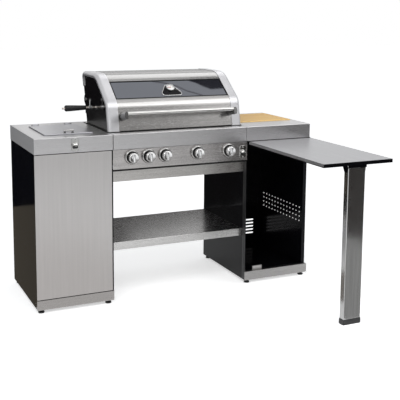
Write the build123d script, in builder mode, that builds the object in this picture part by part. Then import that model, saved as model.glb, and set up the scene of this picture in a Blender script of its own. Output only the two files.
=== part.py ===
"""Barbecue island: two cabinets, a grill bay with a hinged hood, and a table leaf on a folding leg.

Millimetres. +X runs along the front to the right, the front faces -Y, +Z is up.
The origin lies on the ground, under the middle of the island and its table.
"""
import math
import os

from build123d import *

os.makedirs("parts", exist_ok=True)

# Overall sizes
worktop_height = 900.0
cabinet_width = 410.0
bay_width = 776.0
depth = 560.0
apron_height = 79.0
apron_return = 21.0
sheet = 1.5
edge_round = 3.0
seam_gap = 2.0
spacer_radius = 7.0
spacer_inset = 40.0

# Running clearances and gaps between parts that move
running_fit = 0.05
slide_gap = 0.3
side_gap = 0.6

# Cabinets
panel_inset = 2.5
panel_flange = 20.0
foot_height = 19.0
foot_radius = 16.0
foot_disc = 7.0
foot_bell = 7.0
foot_bell_low = 13.0
foot_bell_high = 6.5
foot_stud_radius = 4.0
foot_inset = 26.0
plinth_height = 50.0
plinth_inset = 2.0
plinth_return = 26.0
vent_rows = 4
vent_columns = 13
vent_radius = 4.2
vent_row_step = 27.0
vent_column_step = 35.5
vent_height = 348.0
vent_shift = 11.0
slot_count = 5
slot_length = 300.0
slot_width = 9.0
slot_step = 21.5
slot_height = 167.0

# Left door
door_thickness = 18.0
door_setback = 1.0
door_back_gap = 3.0
door_gap = 4.0
door_lip = 14.0
door_pin_inset = 6.0
door_pin_radius = 3.0
door_pin_length = 14.0

# Side burner in the left worktop
burner_setback = 264.0
bowl_width = 230.0
bowl_depth = 300.0
bowl_drop = 68.0
bowl_flange = 10.0
bowl_clearance = 0.5
ring_radius = 88.0
ring_bar = 9.0
finger_length = 48.0
support_gap = 6.0
burner_head_radius = 46.0
burner_head_height = 14.0
burner_stem_radius = 16.0
burner_stem_height = 20.0
lid_width = 262.0
lid_depth = 350.0
lid_height = 6.0
lid_corner = 12.0
lid_handle_span = 40.0
lid_handle_inset = 14.0
lid_handle_rise = 13.0
lid_handle_bar = 4.0
lid_pin_radius = 3.0
lid_pin_rise = 6.0
lid_pin_behind = 9.0
lid_knuckle_radius = 5.5
lid_knuckle_length = 30.0
lid_ear_thickness = 5.0
lid_hinge_inset = 40.0

# Bottle openers
opener_width = 40.0
opener_height = 70.0
opener_plate = 3.0
opener_edge = 1.0
opener_reach = 22.0
opener_mouth = 26.0
left_opener_offset = 3.0
left_opener_rise = 1.5
right_opener_inset = 28.0
right_opener_drop = 57.0

# Control panel and knobs
panel_height = 103.0
panel_seam = 1.5
panel_return = 25.0
knob_drop = 43.0
knob_shift = -9.5
burner_end = 107.5
knob_radius = 26.0
knob_length = 44.0
knob_gap = 3.0
grip_width = 12.0
grip_rise = 4.0
stem_radius = 4.0
stem_depth = 36.0
stem_hole = 7.0
bezel_radius = 39.0
bezel_bore = 29.0
bezel_height = 16.0
valve_radius = 12.0
manifold_radius = 11.0
manifold_bore = 8.0
manifold_setback = 62.0
nozzle_radius = 6.0
nozzle_reach = 30.0

# Firebox
firebox_front = 100.0
firebox_rear = 472.0
firebox_drop = 155.0
firebox_sheet = 2.0
firebox_front_rise = 30.0
firebox_rear_rise = 155.0
firebox_flange = 12.0
ledge_depth = 12.0
grate_rise = 20.0
grate_thickness = 12.0
grate_count = 3
grate_gap = 1.0
grate_slots = 9
grate_bar = 11.0
grate_border = 16.0
burner_radius = 20.0
burner_wall = 1.5
neck_radius = 12.5
neck_wall = 2.5
neck_length = 26.0
tamer_rise = 46.0
tamer_width = 78.0
tamer_height = 26.0
drain_width = 120.0
drain_depth = 200.0
tray_width = 300.0
tray_depth = 300.0
tray_height = 34.0
tray_flange = 8.0
tray_setback = 150.0
runner_drop = 15.0
rack_depth = 120.0
rack_thickness = 5.0
rack_setback = 332.0
rack_rise = 162.0
rack_slots = 34
rack_border = 12.0
hanger_thickness = 3.0
hanger_width = 40.0
hanger_drop = 110.0

# Bay rails and shelf
rail_setback = 40.0
rail_height = 60.0
rail_drop = 196.0
rear_rail_drop = 204.0
rail_flange = 18.0
shelf_setback = 44.0
shelf_rear_gap = 16.0
shelf_level = 316.0
shelf_lip = 42.0

# Right worktop
board_width = 364.0
board_depth = 320.0
board_setback = 178.0
board_thickness = 26.0
board_proud = 5.0
board_gap = 1.5
board_round = 4.0
well_floor = 1.5
catch_shift = -113.0
catch_width = 62.0
catch_depth = 14.0
catch_height = 22.0

# Table leaf and leg
leaf_length = 745.0
leaf_thickness = 18.0
leaf_rear_gap = 8.0
leaf_drop = 2.0
leaf_lip = 9.0
hinge_radius = 3.5
hinge_pin_radius = 2.0
hinge_knuckles = 5
hinge_flap = 2.0
hinge_flap_depth = 18.0
leg_width = 100.0
leg_depth = 35.0
leg_wall = 2.0
leg_inset = 10.0
leg_pin_radius = 5.0
leg_top_gap = 15.0
leg_pin_drop = 3.0
bracket_sheet = 3.0
bracket_gap = 1.2
bracket_depth = 56.0
bracket_drop = 34.0
cap_height = 26.0
cap_border = 3.0
cap_floor = 8.0
cap_fit = 0.1

# Hood profile, from the apron's front and from the worktop's top
hood_overhang = 2.0
hood_cap_width = 59.0
hood_lift = 4.0
hood_setback = 68.0
hood_lean = 30.0
hood_wall_rise = 148.0
hood_slope_run = 188.0
hood_slope_rise = 140.0
hood_top_run = 270.0
hood_rear_drop = 87.0
hood_rear_tuck = 26.0
bend_radius = 72.0
crown_radius = 140.0
rear_radius = 30.0
hood_sheet = 1.5
cap_proud = 2.0
cap_wall = 6.0
cap_rim = 24.0
cap_round = 18.0
cap_seam = 0.5
hood_side_sheet = 2.0
hood_side_tuck = 9.0
hood_axis_setback = 490.0
hood_axis_rise = 135.0
hood_pin_radius = 5.0
hood_pin_head = 8.0
hood_pin_head_height = 3.5
hinge_lobe = 30.0
hinge_lobe_gap = 5.0
lug_thickness = 6.0
lug_width = 30.0
lug_drop = 80.0
window_start = 29.0
window_height = 141.0
window_lap = 10.0
window_sill = 1.2
glass_thickness = 5.0
handle_inset = 84.0
handle_radius = 10.0
handle_wall = 1.5
handle_standoff = 78.0
handle_rise = 84.0
post_radius = 11.0
post_flat = 8.0
post_tall = 20.0
post_drop = 9.0
post_foot = 3.0
post_foot_height = 4.0

# Gauge on the window
gauge_bottom = 148.0
gauge_top = 46.0
gauge_height = 88.0
gauge_corner = 20.0
gauge_plate = 5.0
gauge_start = 12.0
dial_radius = 25.0
dial_height = 16.0
dial_rim = 3.0
dial_recess = 3.5
needle_length = 18.0
needle_width = 2.4
needle_thickness = 0.8
needle_hub = 3.0
needle_spindle = 1.0
needle_depth = 6.0
needle_lift = 0.5

# Spit
spit_setback = 300.0
spit_rise = 110.0
spit_radius = 5.0
spit_tip_out = 15.0
spit_handle_gap = 14.0
spit_handle_length = 115.0
spit_handle_fat = 17.0
spit_handle_slim = 12.0
spit_right_end = 10.0
bushing_radius = 10.8
bushing_flange = 14.0
bushing_flange_thickness = 2.0
notch_gap = 0.2
hood_notch = 17.0
spit_line_gap = 2.0
collar_radius = 9.0
collar_length = 20.0
collar_out = 28.0
thumb_radius = 2.5
thumb_length = 32.0
thumb_head = 6.0
fork_spread = 120.0
fork_hub = 11.0
fork_hub_length = 22.0
fork_prongs = 4
fork_circle = 20.0
prong_radius = 2.5
prong_length = 90.0

# Places worked out from the sizes
seam_x = bay_width / 2
outer_x = seam_x + cabinet_width
cabinet_x = seam_x + cabinet_width / 2
hood_half = seam_x + hood_overhang
handle_half = hood_half - handle_inset
apron_z = worktop_height - apron_height
top_under = worktop_height - sheet
plinth_top = foot_height + plinth_height
leaf_reach = leaf_rear_gap + leaf_length
front = (leaf_reach - depth) / 2
back = front + depth
panel_front = front + door_setback + door_thickness + door_back_gap
plinth_back = front + plinth_inset + sheet
panel_back = back - panel_inset
outer_face = outer_x - panel_inset
inner_face = seam_x + panel_inset
outer_inside = outer_face - sheet
inner_inside = inner_face + sheet
door_outer = outer_x
door_inner = inner_inside + door_gap
knob_z = apron_z - knob_drop
burner_step = (bay_width - 2 * burner_end) / 3
main_burners_x = [-seam_x + burner_end + n * burner_step for n in range(4)]
main_knobs_x = [x + knob_shift for x in main_burners_x]
side_knob_x = (main_knobs_x[0] + main_knobs_x[1]) / 2


def block(x, y, z, mode=Mode.ADD):
    """A box between two values on each axis."""
    with Locations(((x[0] + x[1]) / 2, (y[0] + y[1]) / 2, (z[0] + z[1]) / 2)):
        Box(abs(x[1] - x[0]), abs(y[1] - y[0]), abs(z[1] - z[0]), mode=mode)


def rod_x(x, y, z, radius, mode=Mode.ADD):
    """A round bar along X, from x[0] to x[1], centred on y and z."""
    with Locations(((x[0] + x[1]) / 2, y, z)):
        Cylinder(radius, abs(x[1] - x[0]), rotation=(0, 90, 0), mode=mode)


def rod_y(x, y, z, radius, mode=Mode.ADD):
    """A round bar along Y, from y[0] to y[1], centred on x and z."""
    with Locations((x, (y[0] + y[1]) / 2, z)):
        Cylinder(radius, abs(y[1] - y[0]), rotation=(90, 0, 0), mode=mode)


def rod_z(x, y, z, radius, mode=Mode.ADD):
    """A round bar along Z, from z[0] to z[1], centred on x and y."""
    with Locations((x, y, (z[0] + z[1]) / 2)):
        Cylinder(radius, abs(z[1] - z[0]), mode=mode)


# Cabinet sides: black enamelled sheets that stand inside the worktop's aprons
def outer_side(side):
    with BuildPart() as panel:
        block((side * outer_inside, side * outer_face), (panel_front, panel_back), (foot_height, top_under))
        block(
            (side * (outer_inside - panel_flange), side * outer_inside),
            (panel_front, panel_front + sheet),
            (plinth_top, top_under),
        )
    return panel


def inner_side(side):
    with BuildPart() as panel:
        block((side * inner_face, side * inner_inside), (plinth_back, panel_back), (foot_height, top_under))
    return panel


left_outer_side = outer_side(-1)
left_inner_side = inner_side(-1)
right_inner_side = inner_side(1)

# The right outer side has a field of round vents for the gas bottle's cabinet
vent_rows_z = [(row - (vent_rows - 1) / 2) * vent_row_step for row in range(vent_rows)]
with BuildPart() as right_outer_side:
    add(outer_side(1).part)
    with Locations((outer_face, (panel_front + panel_back) / 2 + vent_shift, vent_height)):
        with GridLocations(0, vent_column_step, 1, vent_columns):
            with Locations(*[(0, 0, row_z) for row_z in vent_rows_z]):
                Cylinder(vent_radius, 4 * sheet, rotation=(0, 90, 0), mode=Mode.SUBTRACT)


# Backs, floors and plinths
def cabinet_back(side):
    with BuildPart() as panel:
        block(
            (side * inner_inside, side * outer_inside),
            (panel_back - sheet, panel_back),
            (foot_height, top_under),
        )
    return panel


left_back = cabinet_back(-1)

with BuildPart() as right_back:
    add(cabinet_back(1).part)
    for row in range(slot_count):
        slot_z = slot_height + (row - (slot_count - 1) / 2) * slot_step
        with BuildSketch(Plane.XZ.offset(-panel_back)):
            with Locations((cabinet_x, slot_z)):
                SlotOverall(slot_length, slot_width)
        extrude(amount=sheet, mode=Mode.SUBTRACT)


def cabinet_floor(side):
    with BuildPart() as panel:
        block(
            (side * inner_inside, side * outer_inside),
            (front + plinth_inset + plinth_return, panel_back - sheet),
            (plinth_top - sheet, plinth_top),
        )
    return panel


def plinth(side):
    with BuildPart() as kick:
        block(
            (side * seam_x, side * outer_x),
            (front + plinth_inset, plinth_back),
            (foot_height, plinth_top),
        )
        block(
            (side * inner_inside, side * outer_inside),
            (plinth_back, front + plinth_inset + plinth_return),
            (plinth_top - sheet, plinth_top),
        )
        block(
            (side * outer_inside, side * outer_face),
            (plinth_back, panel_front),
            (foot_height, plinth_top),
        )
    return kick


left_floor = cabinet_floor(-1)
right_floor = cabinet_floor(1)
left_plinth = plinth(-1)
right_plinth = plinth(1)

# Levelling feet: a bell-shaped disc on a threaded stud under each corner of both cabinets
with BuildPart() as levelling_feet:
    for foot_x in (cabinet_x, -cabinet_x):
        for across in (-1, 1):
            for foot_y in (front + foot_inset, back - foot_inset):
                stud_x = foot_x + across * (cabinet_width / 2 - foot_inset)
                rod_z(stud_x, foot_y, (0, foot_disc), foot_radius)
                with Locations((stud_x, foot_y, foot_disc + foot_bell / 2)):
                    Cone(foot_bell_low, foot_bell_high, foot_bell)
                rod_z(stud_x, foot_y, (foot_disc, plinth_top - sheet), foot_stud_radius)

# Left door: a folded steel pan, hung on two pins at its outer edge
door_x = (-door_outer, -door_inner)
door_y = (front + door_setback, front + door_setback + door_thickness)
door_z = (plinth_top + door_gap, apron_z - door_gap)
door_pin_x = -door_outer + door_pin_inset
door_pin_y = door_y[1] - door_pin_inset
with BuildPart() as left_door:
    block(door_x, door_y, door_z)
    fillet(left_door.edges().filter_by(Axis.Z).group_by(Axis.Y)[0], radius=edge_round)
    block(
        (door_x[0] + sheet, door_x[1] - sheet),
        (door_y[0] + sheet, door_y[1] - sheet),
        (door_z[0] + sheet, door_z[1] - sheet),
        Mode.SUBTRACT,
    )
    block(
        (door_x[0] + door_lip, door_x[1] - door_lip),
        (door_y[1] - sheet, door_y[1]),
        (door_z[0] + door_lip, door_z[1] - door_lip),
        Mode.SUBTRACT,
    )
    rod_z(door_pin_x, door_pin_y, (door_z[0], door_z[1]), door_pin_radius + running_fit, Mode.SUBTRACT)


# Worktops: pressed stainless caps with deep aprons and a return under the front
def worktop(x, return_x, opening_x, opening_y):
    with BuildPart() as top:
        block(x, (front, back), (apron_z, worktop_height))
        fillet(top.edges().filter_by(Axis.Z) + top.edges().group_by(Axis.Z)[-1], radius=edge_round)
        block(
            (x[0] + sheet, x[1] - sheet),
            (front + sheet, back - sheet),
            (apron_z, top_under),
            Mode.SUBTRACT,
        )
        block(return_x, (front + sheet, front + apron_return), (apron_z, apron_z + sheet))
        block(opening_x, opening_y, (top_under, worktop_height), Mode.SUBTRACT)
    return top


top_inner = seam_x + seam_gap / 2
burner_y = front + burner_setback
bowl_x = (-cabinet_x - bowl_width / 2, -cabinet_x + bowl_width / 2)
bowl_y = (burner_y - bowl_depth / 2, burner_y + bowl_depth / 2)
lid_x = (-cabinet_x - lid_width / 2, -cabinet_x + lid_width / 2)
lid_y = (burner_y - lid_depth / 2, burner_y + lid_depth / 2)
lid_pin_y = lid_y[1] + lid_pin_behind
lid_pin_z = worktop_height + lid_pin_rise
lid_hinges_x = (lid_x[0] + lid_hinge_inset, lid_x[1] - lid_hinge_inset)
lid_ear_reach = lid_knuckle_length / 2 + slide_gap + lid_ear_thickness

# Left worktop: an opening for the side burner, and two pairs of hinge ears behind its lid
with BuildPart() as left_worktop:
    add(
        worktop(
            (-outer_x, -top_inner),
            (-outer_x + sheet, -inner_inside - seam_gap),
            (bowl_x[0] - bowl_clearance, bowl_x[1] + bowl_clearance),
            (bowl_y[0] - bowl_clearance, bowl_y[1] + bowl_clearance),
        ).part
    )
    for hinge_x in lid_hinges_x:
        for across in (-1, 1):
            ear_x = hinge_x + across * (lid_ear_reach - lid_ear_thickness / 2)
            block(
                (ear_x - lid_ear_thickness / 2, ear_x + lid_ear_thickness / 2),
                (lid_pin_y - lid_knuckle_radius, lid_pin_y + lid_knuckle_radius),
                (worktop_height, lid_pin_z + lid_knuckle_radius),
            )

# Side burner bowl: a pressed pan whose flange rests on the worktop
bowl_floor_z = worktop_height - bowl_drop
with BuildPart() as side_burner_bowl:
    block(
        (bowl_x[0] - bowl_flange, bowl_x[1] + bowl_flange),
        (bowl_y[0] - bowl_flange, bowl_y[1] + bowl_flange),
        (worktop_height, worktop_height + sheet),
    )
    block(bowl_x, bowl_y, (bowl_floor_z, worktop_height))
    block(
        (bowl_x[0] + sheet, bowl_x[1] - sheet),
        (bowl_y[0] + sheet, bowl_y[1] - sheet),
        (bowl_floor_z + sheet, worktop_height + sheet),
        Mode.SUBTRACT,
    )

# Side burner head: a cast crown on a short stem, with flame ports round its edge
head_z = bowl_floor_z + sheet + burner_stem_height
port_count = 24
port_radius = 1.8
with BuildPart() as side_burner_head:
    rod_z(-cabinet_x, burner_y, (bowl_floor_z + sheet, head_z), burner_stem_radius)
    rod_z(-cabinet_x, burner_y, (head_z, head_z + burner_head_height), burner_head_radius)
    with Locations((-cabinet_x, burner_y, head_z + burner_head_height / 2)):
        with PolarLocations(burner_head_radius, port_count):
            Cylinder(port_radius, 4 * port_radius, rotation=(0, 90, 0), mode=Mode.SUBTRACT)

# Pan support: a cast ring with four fingers, standing on four legs in the bowl
support_top = worktop_height - support_gap
with BuildPart() as pan_support:
    rod_z(-cabinet_x, burner_y, (support_top - ring_bar, support_top), ring_radius)
    rod_z(-cabinet_x, burner_y, (support_top - ring_bar, support_top), ring_radius - ring_bar, Mode.SUBTRACT)
    with Locations((-cabinet_x, burner_y, support_top - ring_bar / 2)):
        with PolarLocations(ring_radius - ring_bar / 2 - finger_length / 2, 4):
            Box(finger_length, ring_bar, ring_bar)
    with Locations((-cabinet_x, burner_y, (bowl_floor_z + sheet + support_top) / 2)):
        with PolarLocations(ring_radius - ring_bar / 2, 4, start_angle=45):
            Box(ring_bar * 0.8, ring_bar, support_top - bowl_floor_z - sheet)

# Side burner lid: a shallow pan with rounded corners, a bar handle and two hinge knuckles
lid_z = (worktop_height + slide_gap, worktop_height + slide_gap + lid_height)
with BuildPart() as side_burner_lid:
    block(lid_x, lid_y, lid_z)
    fillet(side_burner_lid.edges().filter_by(Axis.Z), radius=lid_corner)
    fillet(side_burner_lid.faces().sort_by(Axis.Z)[-1].edges(), radius=edge_round)
    block(
        (lid_x[0] + sheet, lid_x[1] - sheet),
        (lid_y[0] + lid_corner / 2, lid_y[1] - lid_corner / 2),
        (lid_z[0], lid_z[1] - sheet),
        Mode.SUBTRACT,
    )
    handle_y = lid_y[0] + lid_handle_inset
    grip_half = lid_handle_span / 2 + 2 * lid_handle_bar
    for across in (-1, 1):
        rod_z(
            -cabinet_x + across * lid_handle_span / 2,
            handle_y,
            (lid_z[1], lid_z[1] + lid_handle_rise),
            lid_handle_bar,
        )
    rod_x(
        (-cabinet_x - grip_half, -cabinet_x + grip_half),
        handle_y,
        lid_z[1] + lid_handle_rise,
        lid_handle_bar,
    )
    for hinge_x in lid_hinges_x:
        knuckle_x = (hinge_x - lid_knuckle_length / 2, hinge_x + lid_knuckle_length / 2)
        block(knuckle_x, (lid_y[1] - sheet, lid_pin_y), (lid_pin_z - sheet, lid_pin_z + sheet))
        rod_x(knuckle_x, lid_pin_y, lid_pin_z, lid_knuckle_radius)
        rod_x(knuckle_x, lid_pin_y, lid_pin_z, lid_pin_radius + running_fit, Mode.SUBTRACT)


# Bottle opener: a cast plate with a hooded mouth, screwed to a front face
def bottle_opener(x, z):
    face = Plane.XZ.offset(-front)
    screw_rise = opener_height / 2 - opener_width / 5
    with BuildPart() as opener:
        with BuildSketch(face):
            with Locations((x, z)):
                RectangleRounded(opener_width, opener_height, opener_width / 3)
        extrude(amount=opener_plate)
        with BuildSketch(face.offset(opener_plate)):
            with Locations((x, z)):
                Circle(opener_width / 2 - opener_edge)
        extrude(amount=opener_reach - opener_plate, taper=12)
        with BuildSketch(face.offset(opener_plate)):
            with Locations((x, z - opener_mouth / 4)):
                Rectangle(opener_mouth, opener_mouth)
        extrude(amount=opener_reach - 2 * opener_plate, mode=Mode.SUBTRACT)
        block(
            (x - opener_width / 2, x + opener_width / 2),
            (front - opener_reach, front - opener_plate),
            (z - opener_height / 2, z - opener_mouth / 4),
            Mode.SUBTRACT,
        )
        with BuildSketch(face):
            with Locations((x, z + screw_rise), (x, z - screw_rise)):
                Circle(opener_width / 8)
        extrude(amount=opener_plate * 1.6)
    return opener


left_bottle_opener = bottle_opener(-cabinet_x + left_opener_offset, apron_z + apron_height / 2 + left_opener_rise)
right_bottle_opener = bottle_opener(inner_face - right_opener_inset, apron_z - right_opener_drop)

# Grill surround: the apron and top strips round the firebox, bolted to both worktops through spacers
hearth_y = (front + firebox_front - side_gap, front + firebox_rear + side_gap)
surround_half = seam_x - seam_gap / 2
with BuildPart() as grill_surround:
    add(
        worktop(
            (-surround_half, surround_half),
            (-surround_half + sheet, surround_half - sheet),
            (-surround_half + sheet, surround_half - sheet),
            hearth_y,
        ).part
    )
    for side in (-1, 1):
        for spacer_y in (front + spacer_inset, (front + back) / 2, back - spacer_inset):
            rod_x((side * surround_half, side * top_inner), spacer_y, apron_z + apron_height / 2, spacer_radius)

# Control panel: a folded strip between the two cabinets, drilled for the valve stems
panel_z = (apron_z - panel_seam - panel_height, apron_z - panel_seam)
with BuildPart() as control_panel:
    block((-inner_face, inner_face), (front, front + sheet), panel_z)
    block((-inner_face, inner_face), (front + sheet, front + panel_return), (panel_z[0], panel_z[0] + sheet))
    block((-inner_face, inner_face), (front + sheet, front + panel_return), (panel_z[1] - sheet, panel_z[1]))
    for x in main_knobs_x + [side_knob_x]:
        rod_y(x, (front, front + sheet), knob_z, stem_hole, Mode.SUBTRACT)

# Knob bezels: chromed rings on the panel, one round each knob
with BuildPart() as knob_bezels:
    for x in main_knobs_x + [side_knob_x]:
        with BuildSketch(Plane.XZ.offset(-front)):
            with Locations((x, knob_z)):
                Circle(bezel_radius)
                Circle(bezel_bore, mode=Mode.SUBTRACT)
        extrude(amount=bezel_height)
    rims = knob_bezels.faces().filter_by(Axis.Y).group_by(Axis.Y)[0].edges()
    chamfer(
        [rim for rim in rims if rim.radius > (bezel_bore + bezel_radius) / 2],
        length=(bezel_radius - bezel_bore) / 2,
    )


# Knobs: round caps with a grip bar across the face, each on its valve stem
def knob(x):
    with BuildPart() as cap:
        rod_y(x, (front - knob_gap - knob_length, front - knob_gap), knob_z, knob_radius)
        fillet(cap.faces().sort_by(Axis.Y)[0].edges(), radius=grip_rise)
        block(
            (x - grip_width / 2, x + grip_width / 2),
            (front - knob_gap - knob_length - grip_rise, front - knob_gap - knob_length + grip_rise),
            (knob_z - knob_radius + 2 * grip_rise, knob_z + knob_radius - 2 * grip_rise),
        )
        rod_y(x, (front - knob_gap - grip_rise, front + stem_depth), knob_z, stem_radius)
    return cap


main_knob_1, main_knob_2, main_knob_3, main_knob_4 = [knob(x) for x in main_knobs_x]
side_burner_knob = knob(side_knob_x)

# Gas manifold: a pipe behind the panel with a valve for each knob and a nozzle for each main burner
manifold_y = front + manifold_setback
manifold_x = (main_knobs_x[0] - 2 * valve_radius, main_knobs_x[-1] + 2 * valve_radius)
with BuildPart() as gas_manifold:
    rod_x(manifold_x, manifold_y, knob_z, manifold_radius)
    for x in main_knobs_x + [side_knob_x]:
        rod_y(x, (front + sheet, manifold_y), knob_z, valve_radius)
    for x in main_burners_x:
        rod_y(x, (manifold_y, manifold_y + nozzle_reach), knob_z, nozzle_radius)
    rod_x(
        (manifold_x[0] + valve_radius, manifold_x[1]),
        manifold_y,
        knob_z,
        manifold_bore,
        Mode.SUBTRACT,
    )
    for x in main_knobs_x + [side_knob_x]:
        rod_y(x, (front, front + stem_depth + slide_gap), knob_z, stem_radius + running_fit, Mode.SUBTRACT)

# Hood profile in the plane of Y and Z, from the front's lower edge to the rear's lower edge
base_z = worktop_height + hood_lift
profile_foot = (front + hood_setback, base_z)
profile_bend = (profile_foot[0] + hood_lean, base_z + hood_wall_rise)
profile_crown = (profile_bend[0] + hood_slope_run, profile_bend[1] + hood_slope_rise)
profile_rear = (profile_crown[0] + hood_top_run, profile_crown[1])
profile_tail = (profile_rear[0] - hood_rear_tuck, profile_rear[1] - hood_rear_drop)
slope_angle = math.atan2(hood_slope_rise, hood_slope_run)
slope_along = (math.cos(slope_angle), math.sin(slope_angle))
wall_angle = math.atan2(hood_lean, hood_wall_rise)
spit_y = front + spit_setback
spit_z = worktop_height + spit_rise
axis_y = front + hood_axis_setback
axis_z = worktop_height + hood_axis_rise
hood_inside = hood_half - cap_wall
cheek_outside = hood_inside - side_gap
cheek_inside = cheek_outside - firebox_sheet


def on_slope(along):
    """A point of the profile's slope, this far up from the bend."""
    return (profile_bend[0] + along * slope_along[0], profile_bend[1] + along * slope_along[1])


def rear_edge(z):
    """The leaning rear edge of the hood's sides, at a height."""
    lean = hood_rear_tuck / hood_rear_drop
    return profile_tail[0] - (profile_tail[1] - z) * lean


# Firebox: an open steel tub with high cheeks that carry the spit, the hood's hinges and the grates
firebox_x = (-cheek_outside, cheek_outside)
firebox_y = (front + firebox_front, front + firebox_rear)
firebox_in_y = (firebox_y[0] + firebox_sheet, firebox_y[1] - firebox_sheet)
firebox_floor = worktop_height - firebox_drop
cheek_top = spit_z - spit_line_gap
grate_z = worktop_height + grate_rise
tray_in = tray_width / 2 + tray_flange
runner_z = firebox_floor - runner_drop
with BuildPart() as firebox:
    block(firebox_x, firebox_y, (firebox_floor, firebox_floor + firebox_sheet))
    block(
        (-drain_width / 2, drain_width / 2),
        ((firebox_y[0] + firebox_y[1] - drain_depth) / 2, (firebox_y[0] + firebox_y[1] + drain_depth) / 2),
        (firebox_floor, firebox_floor + firebox_sheet),
        Mode.SUBTRACT,
    )
    block(firebox_x, (firebox_y[0], firebox_in_y[0]), (firebox_floor, worktop_height + firebox_front_rise))
    block(firebox_x, (firebox_in_y[1], firebox_y[1]), (firebox_floor, cheek_top))
    block(
        (-cheek_inside, cheek_inside),
        (firebox_in_y[1], firebox_y[1]),
        (cheek_top, worktop_height + firebox_rear_rise),
    )
    for wall_y, out in ((firebox_y[0], -1), (firebox_y[1], 1)):
        flange_y = (wall_y, wall_y + out * firebox_flange)
        block(firebox_x, flange_y, (worktop_height, worktop_height + firebox_sheet))
    for wall_y, inward in ((firebox_in_y[0], 1), (firebox_in_y[1], -1)):
        block(firebox_x, (wall_y, wall_y + inward * ledge_depth), (grate_z - firebox_sheet, grate_z))
    for side in (-1, 1):
        block(
            (side * cheek_inside, side * cheek_outside),
            firebox_y,
            (firebox_floor, worktop_height + firebox_sheet),
        )
        with BuildSketch(Plane.YZ.offset(side * cheek_outside)):
            with BuildLine():
                Polyline(
                    (firebox_y[0], worktop_height),
                    (firebox_y[0], cheek_top),
                    (rear_edge(cheek_top), cheek_top),
                    (rear_edge(worktop_height + firebox_sheet), worktop_height + firebox_sheet),
                    (rear_edge(worktop_height + firebox_sheet), worktop_height),
                    close=True,
                )
            make_face()
            with Locations((axis_y, axis_z)):
                Circle(hinge_lobe + hinge_lobe_gap, mode=Mode.SUBTRACT)
            with Locations((spit_y, spit_z)):
                Circle(bushing_radius + notch_gap, mode=Mode.SUBTRACT)
        extrude(amount=-side * firebox_sheet)
        block(
            (side * cheek_inside, side * (cheek_inside - lug_thickness)),
            (axis_y - lug_width / 2, axis_y + lug_width / 2),
            (axis_z - lug_drop, axis_z + lug_width / 2),
        )
    for x in main_burners_x:
        rod_y(x, (firebox_y[0], firebox_in_y[0]), knob_z, neck_radius + running_fit, Mode.SUBTRACT)
    for side in (-1, 1):
        runner_x = side * (tray_in + slide_gap)
        block(
            (runner_x, runner_x + side * sheet),
            (front + tray_setback, front + tray_setback + tray_depth),
            (runner_z, firebox_floor),
        )
        block(
            (runner_x, runner_x - side * (tray_flange - 2 * sheet)),
            (front + tray_setback, front + tray_setback + tray_depth),
            (runner_z, runner_z + sheet),
        )

# Main burners: four steel tubes between the firebox walls, each with a neck out through the front
with BuildPart() as main_burners:
    for x in main_burners_x:
        rod_y(x, firebox_in_y, knob_z, burner_radius)
        rod_y(x, (firebox_in_y[0] - neck_length, firebox_in_y[0]), knob_z, neck_radius)
        rod_y(
            x,
            (firebox_in_y[0] + burner_wall, firebox_in_y[1] - burner_wall),
            knob_z,
            burner_radius - burner_wall,
            Mode.SUBTRACT,
        )
        rod_y(
            x,
            (firebox_in_y[0] - neck_length, firebox_in_y[0] + burner_wall),
            knob_z,
            neck_radius - neck_wall,
            Mode.SUBTRACT,
        )

# Flame tamers: folded roofs over the burners
with BuildPart() as flame_tamers:
    for x in main_burners_x:
        with BuildSketch(Plane.XZ.offset(-firebox_in_y[1])):
            with BuildLine():
                Polyline(
                    (x - tamer_width / 2, knob_z + tamer_rise - tamer_height),
                    (x, knob_z + tamer_rise),
                    (x + tamer_width / 2, knob_z + tamer_rise - tamer_height),
                    (x + tamer_width / 2, knob_z + tamer_rise - tamer_height + 2 * sheet),
                    (x, knob_z + tamer_rise + 2 * sheet),
                    (x - tamer_width / 2, knob_z + tamer_rise - tamer_height + 2 * sheet),
                    close=True,
                )
            make_face()
        extrude(amount=firebox_in_y[1] - firebox_in_y[0])

# Cooking grates: cast panels side by side on the firebox's ledges
grate_width = (2 * (cheek_inside - side_gap) - (grate_count - 1) * grate_gap) / grate_count
grate_depth = firebox_in_y[1] - firebox_in_y[0] - 2 * slide_gap
grate_pitch = (grate_width - 2 * grate_border + grate_bar) / grate_slots
with BuildPart() as cooking_grates:
    for panel in range(grate_count):
        grate_x = (panel - (grate_count - 1) / 2) * (grate_width + grate_gap)
        with BuildSketch(Plane.XY.offset(grate_z)):
            with Locations((grate_x, (firebox_in_y[0] + firebox_in_y[1]) / 2)):
                Rectangle(grate_width, grate_depth)
                with GridLocations(grate_pitch, 0, grate_slots, 1):
                    SlotOverall(
                        grate_depth - 2 * grate_border,
                        grate_pitch - grate_bar,
                        rotation=90,
                        mode=Mode.SUBTRACT,
                    )
        extrude(amount=grate_thickness)

# Warming rack: a slotted shelf on two hangers that are screwed to the cheeks
rack_half = cheek_inside
rack_y = (front + rack_setback, front + rack_setback + rack_depth)
rack_z = worktop_height + rack_rise
rack_bay = 2 * (rack_half - hanger_thickness - rack_border)
rack_pitch = rack_bay / rack_slots
with BuildPart() as warming_rack:
    with BuildSketch(Plane.XY.offset(rack_z)):
        with Locations((0, (rack_y[0] + rack_y[1]) / 2)):
            Rectangle(2 * rack_half, rack_depth)
            with GridLocations(rack_pitch, 0, rack_slots, 1):
                SlotOverall(rack_depth - 2 * rack_border, rack_pitch * 0.7, rotation=90, mode=Mode.SUBTRACT)
    extrude(amount=rack_thickness)
    for side in (-1, 1):
        block(
            (side * rack_half, side * (rack_half - hanger_thickness)),
            ((rack_y[0] + rack_y[1] - hanger_width) / 2, (rack_y[0] + rack_y[1] + hanger_width) / 2),
            (rack_z - hanger_drop, rack_z),
        )

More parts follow.
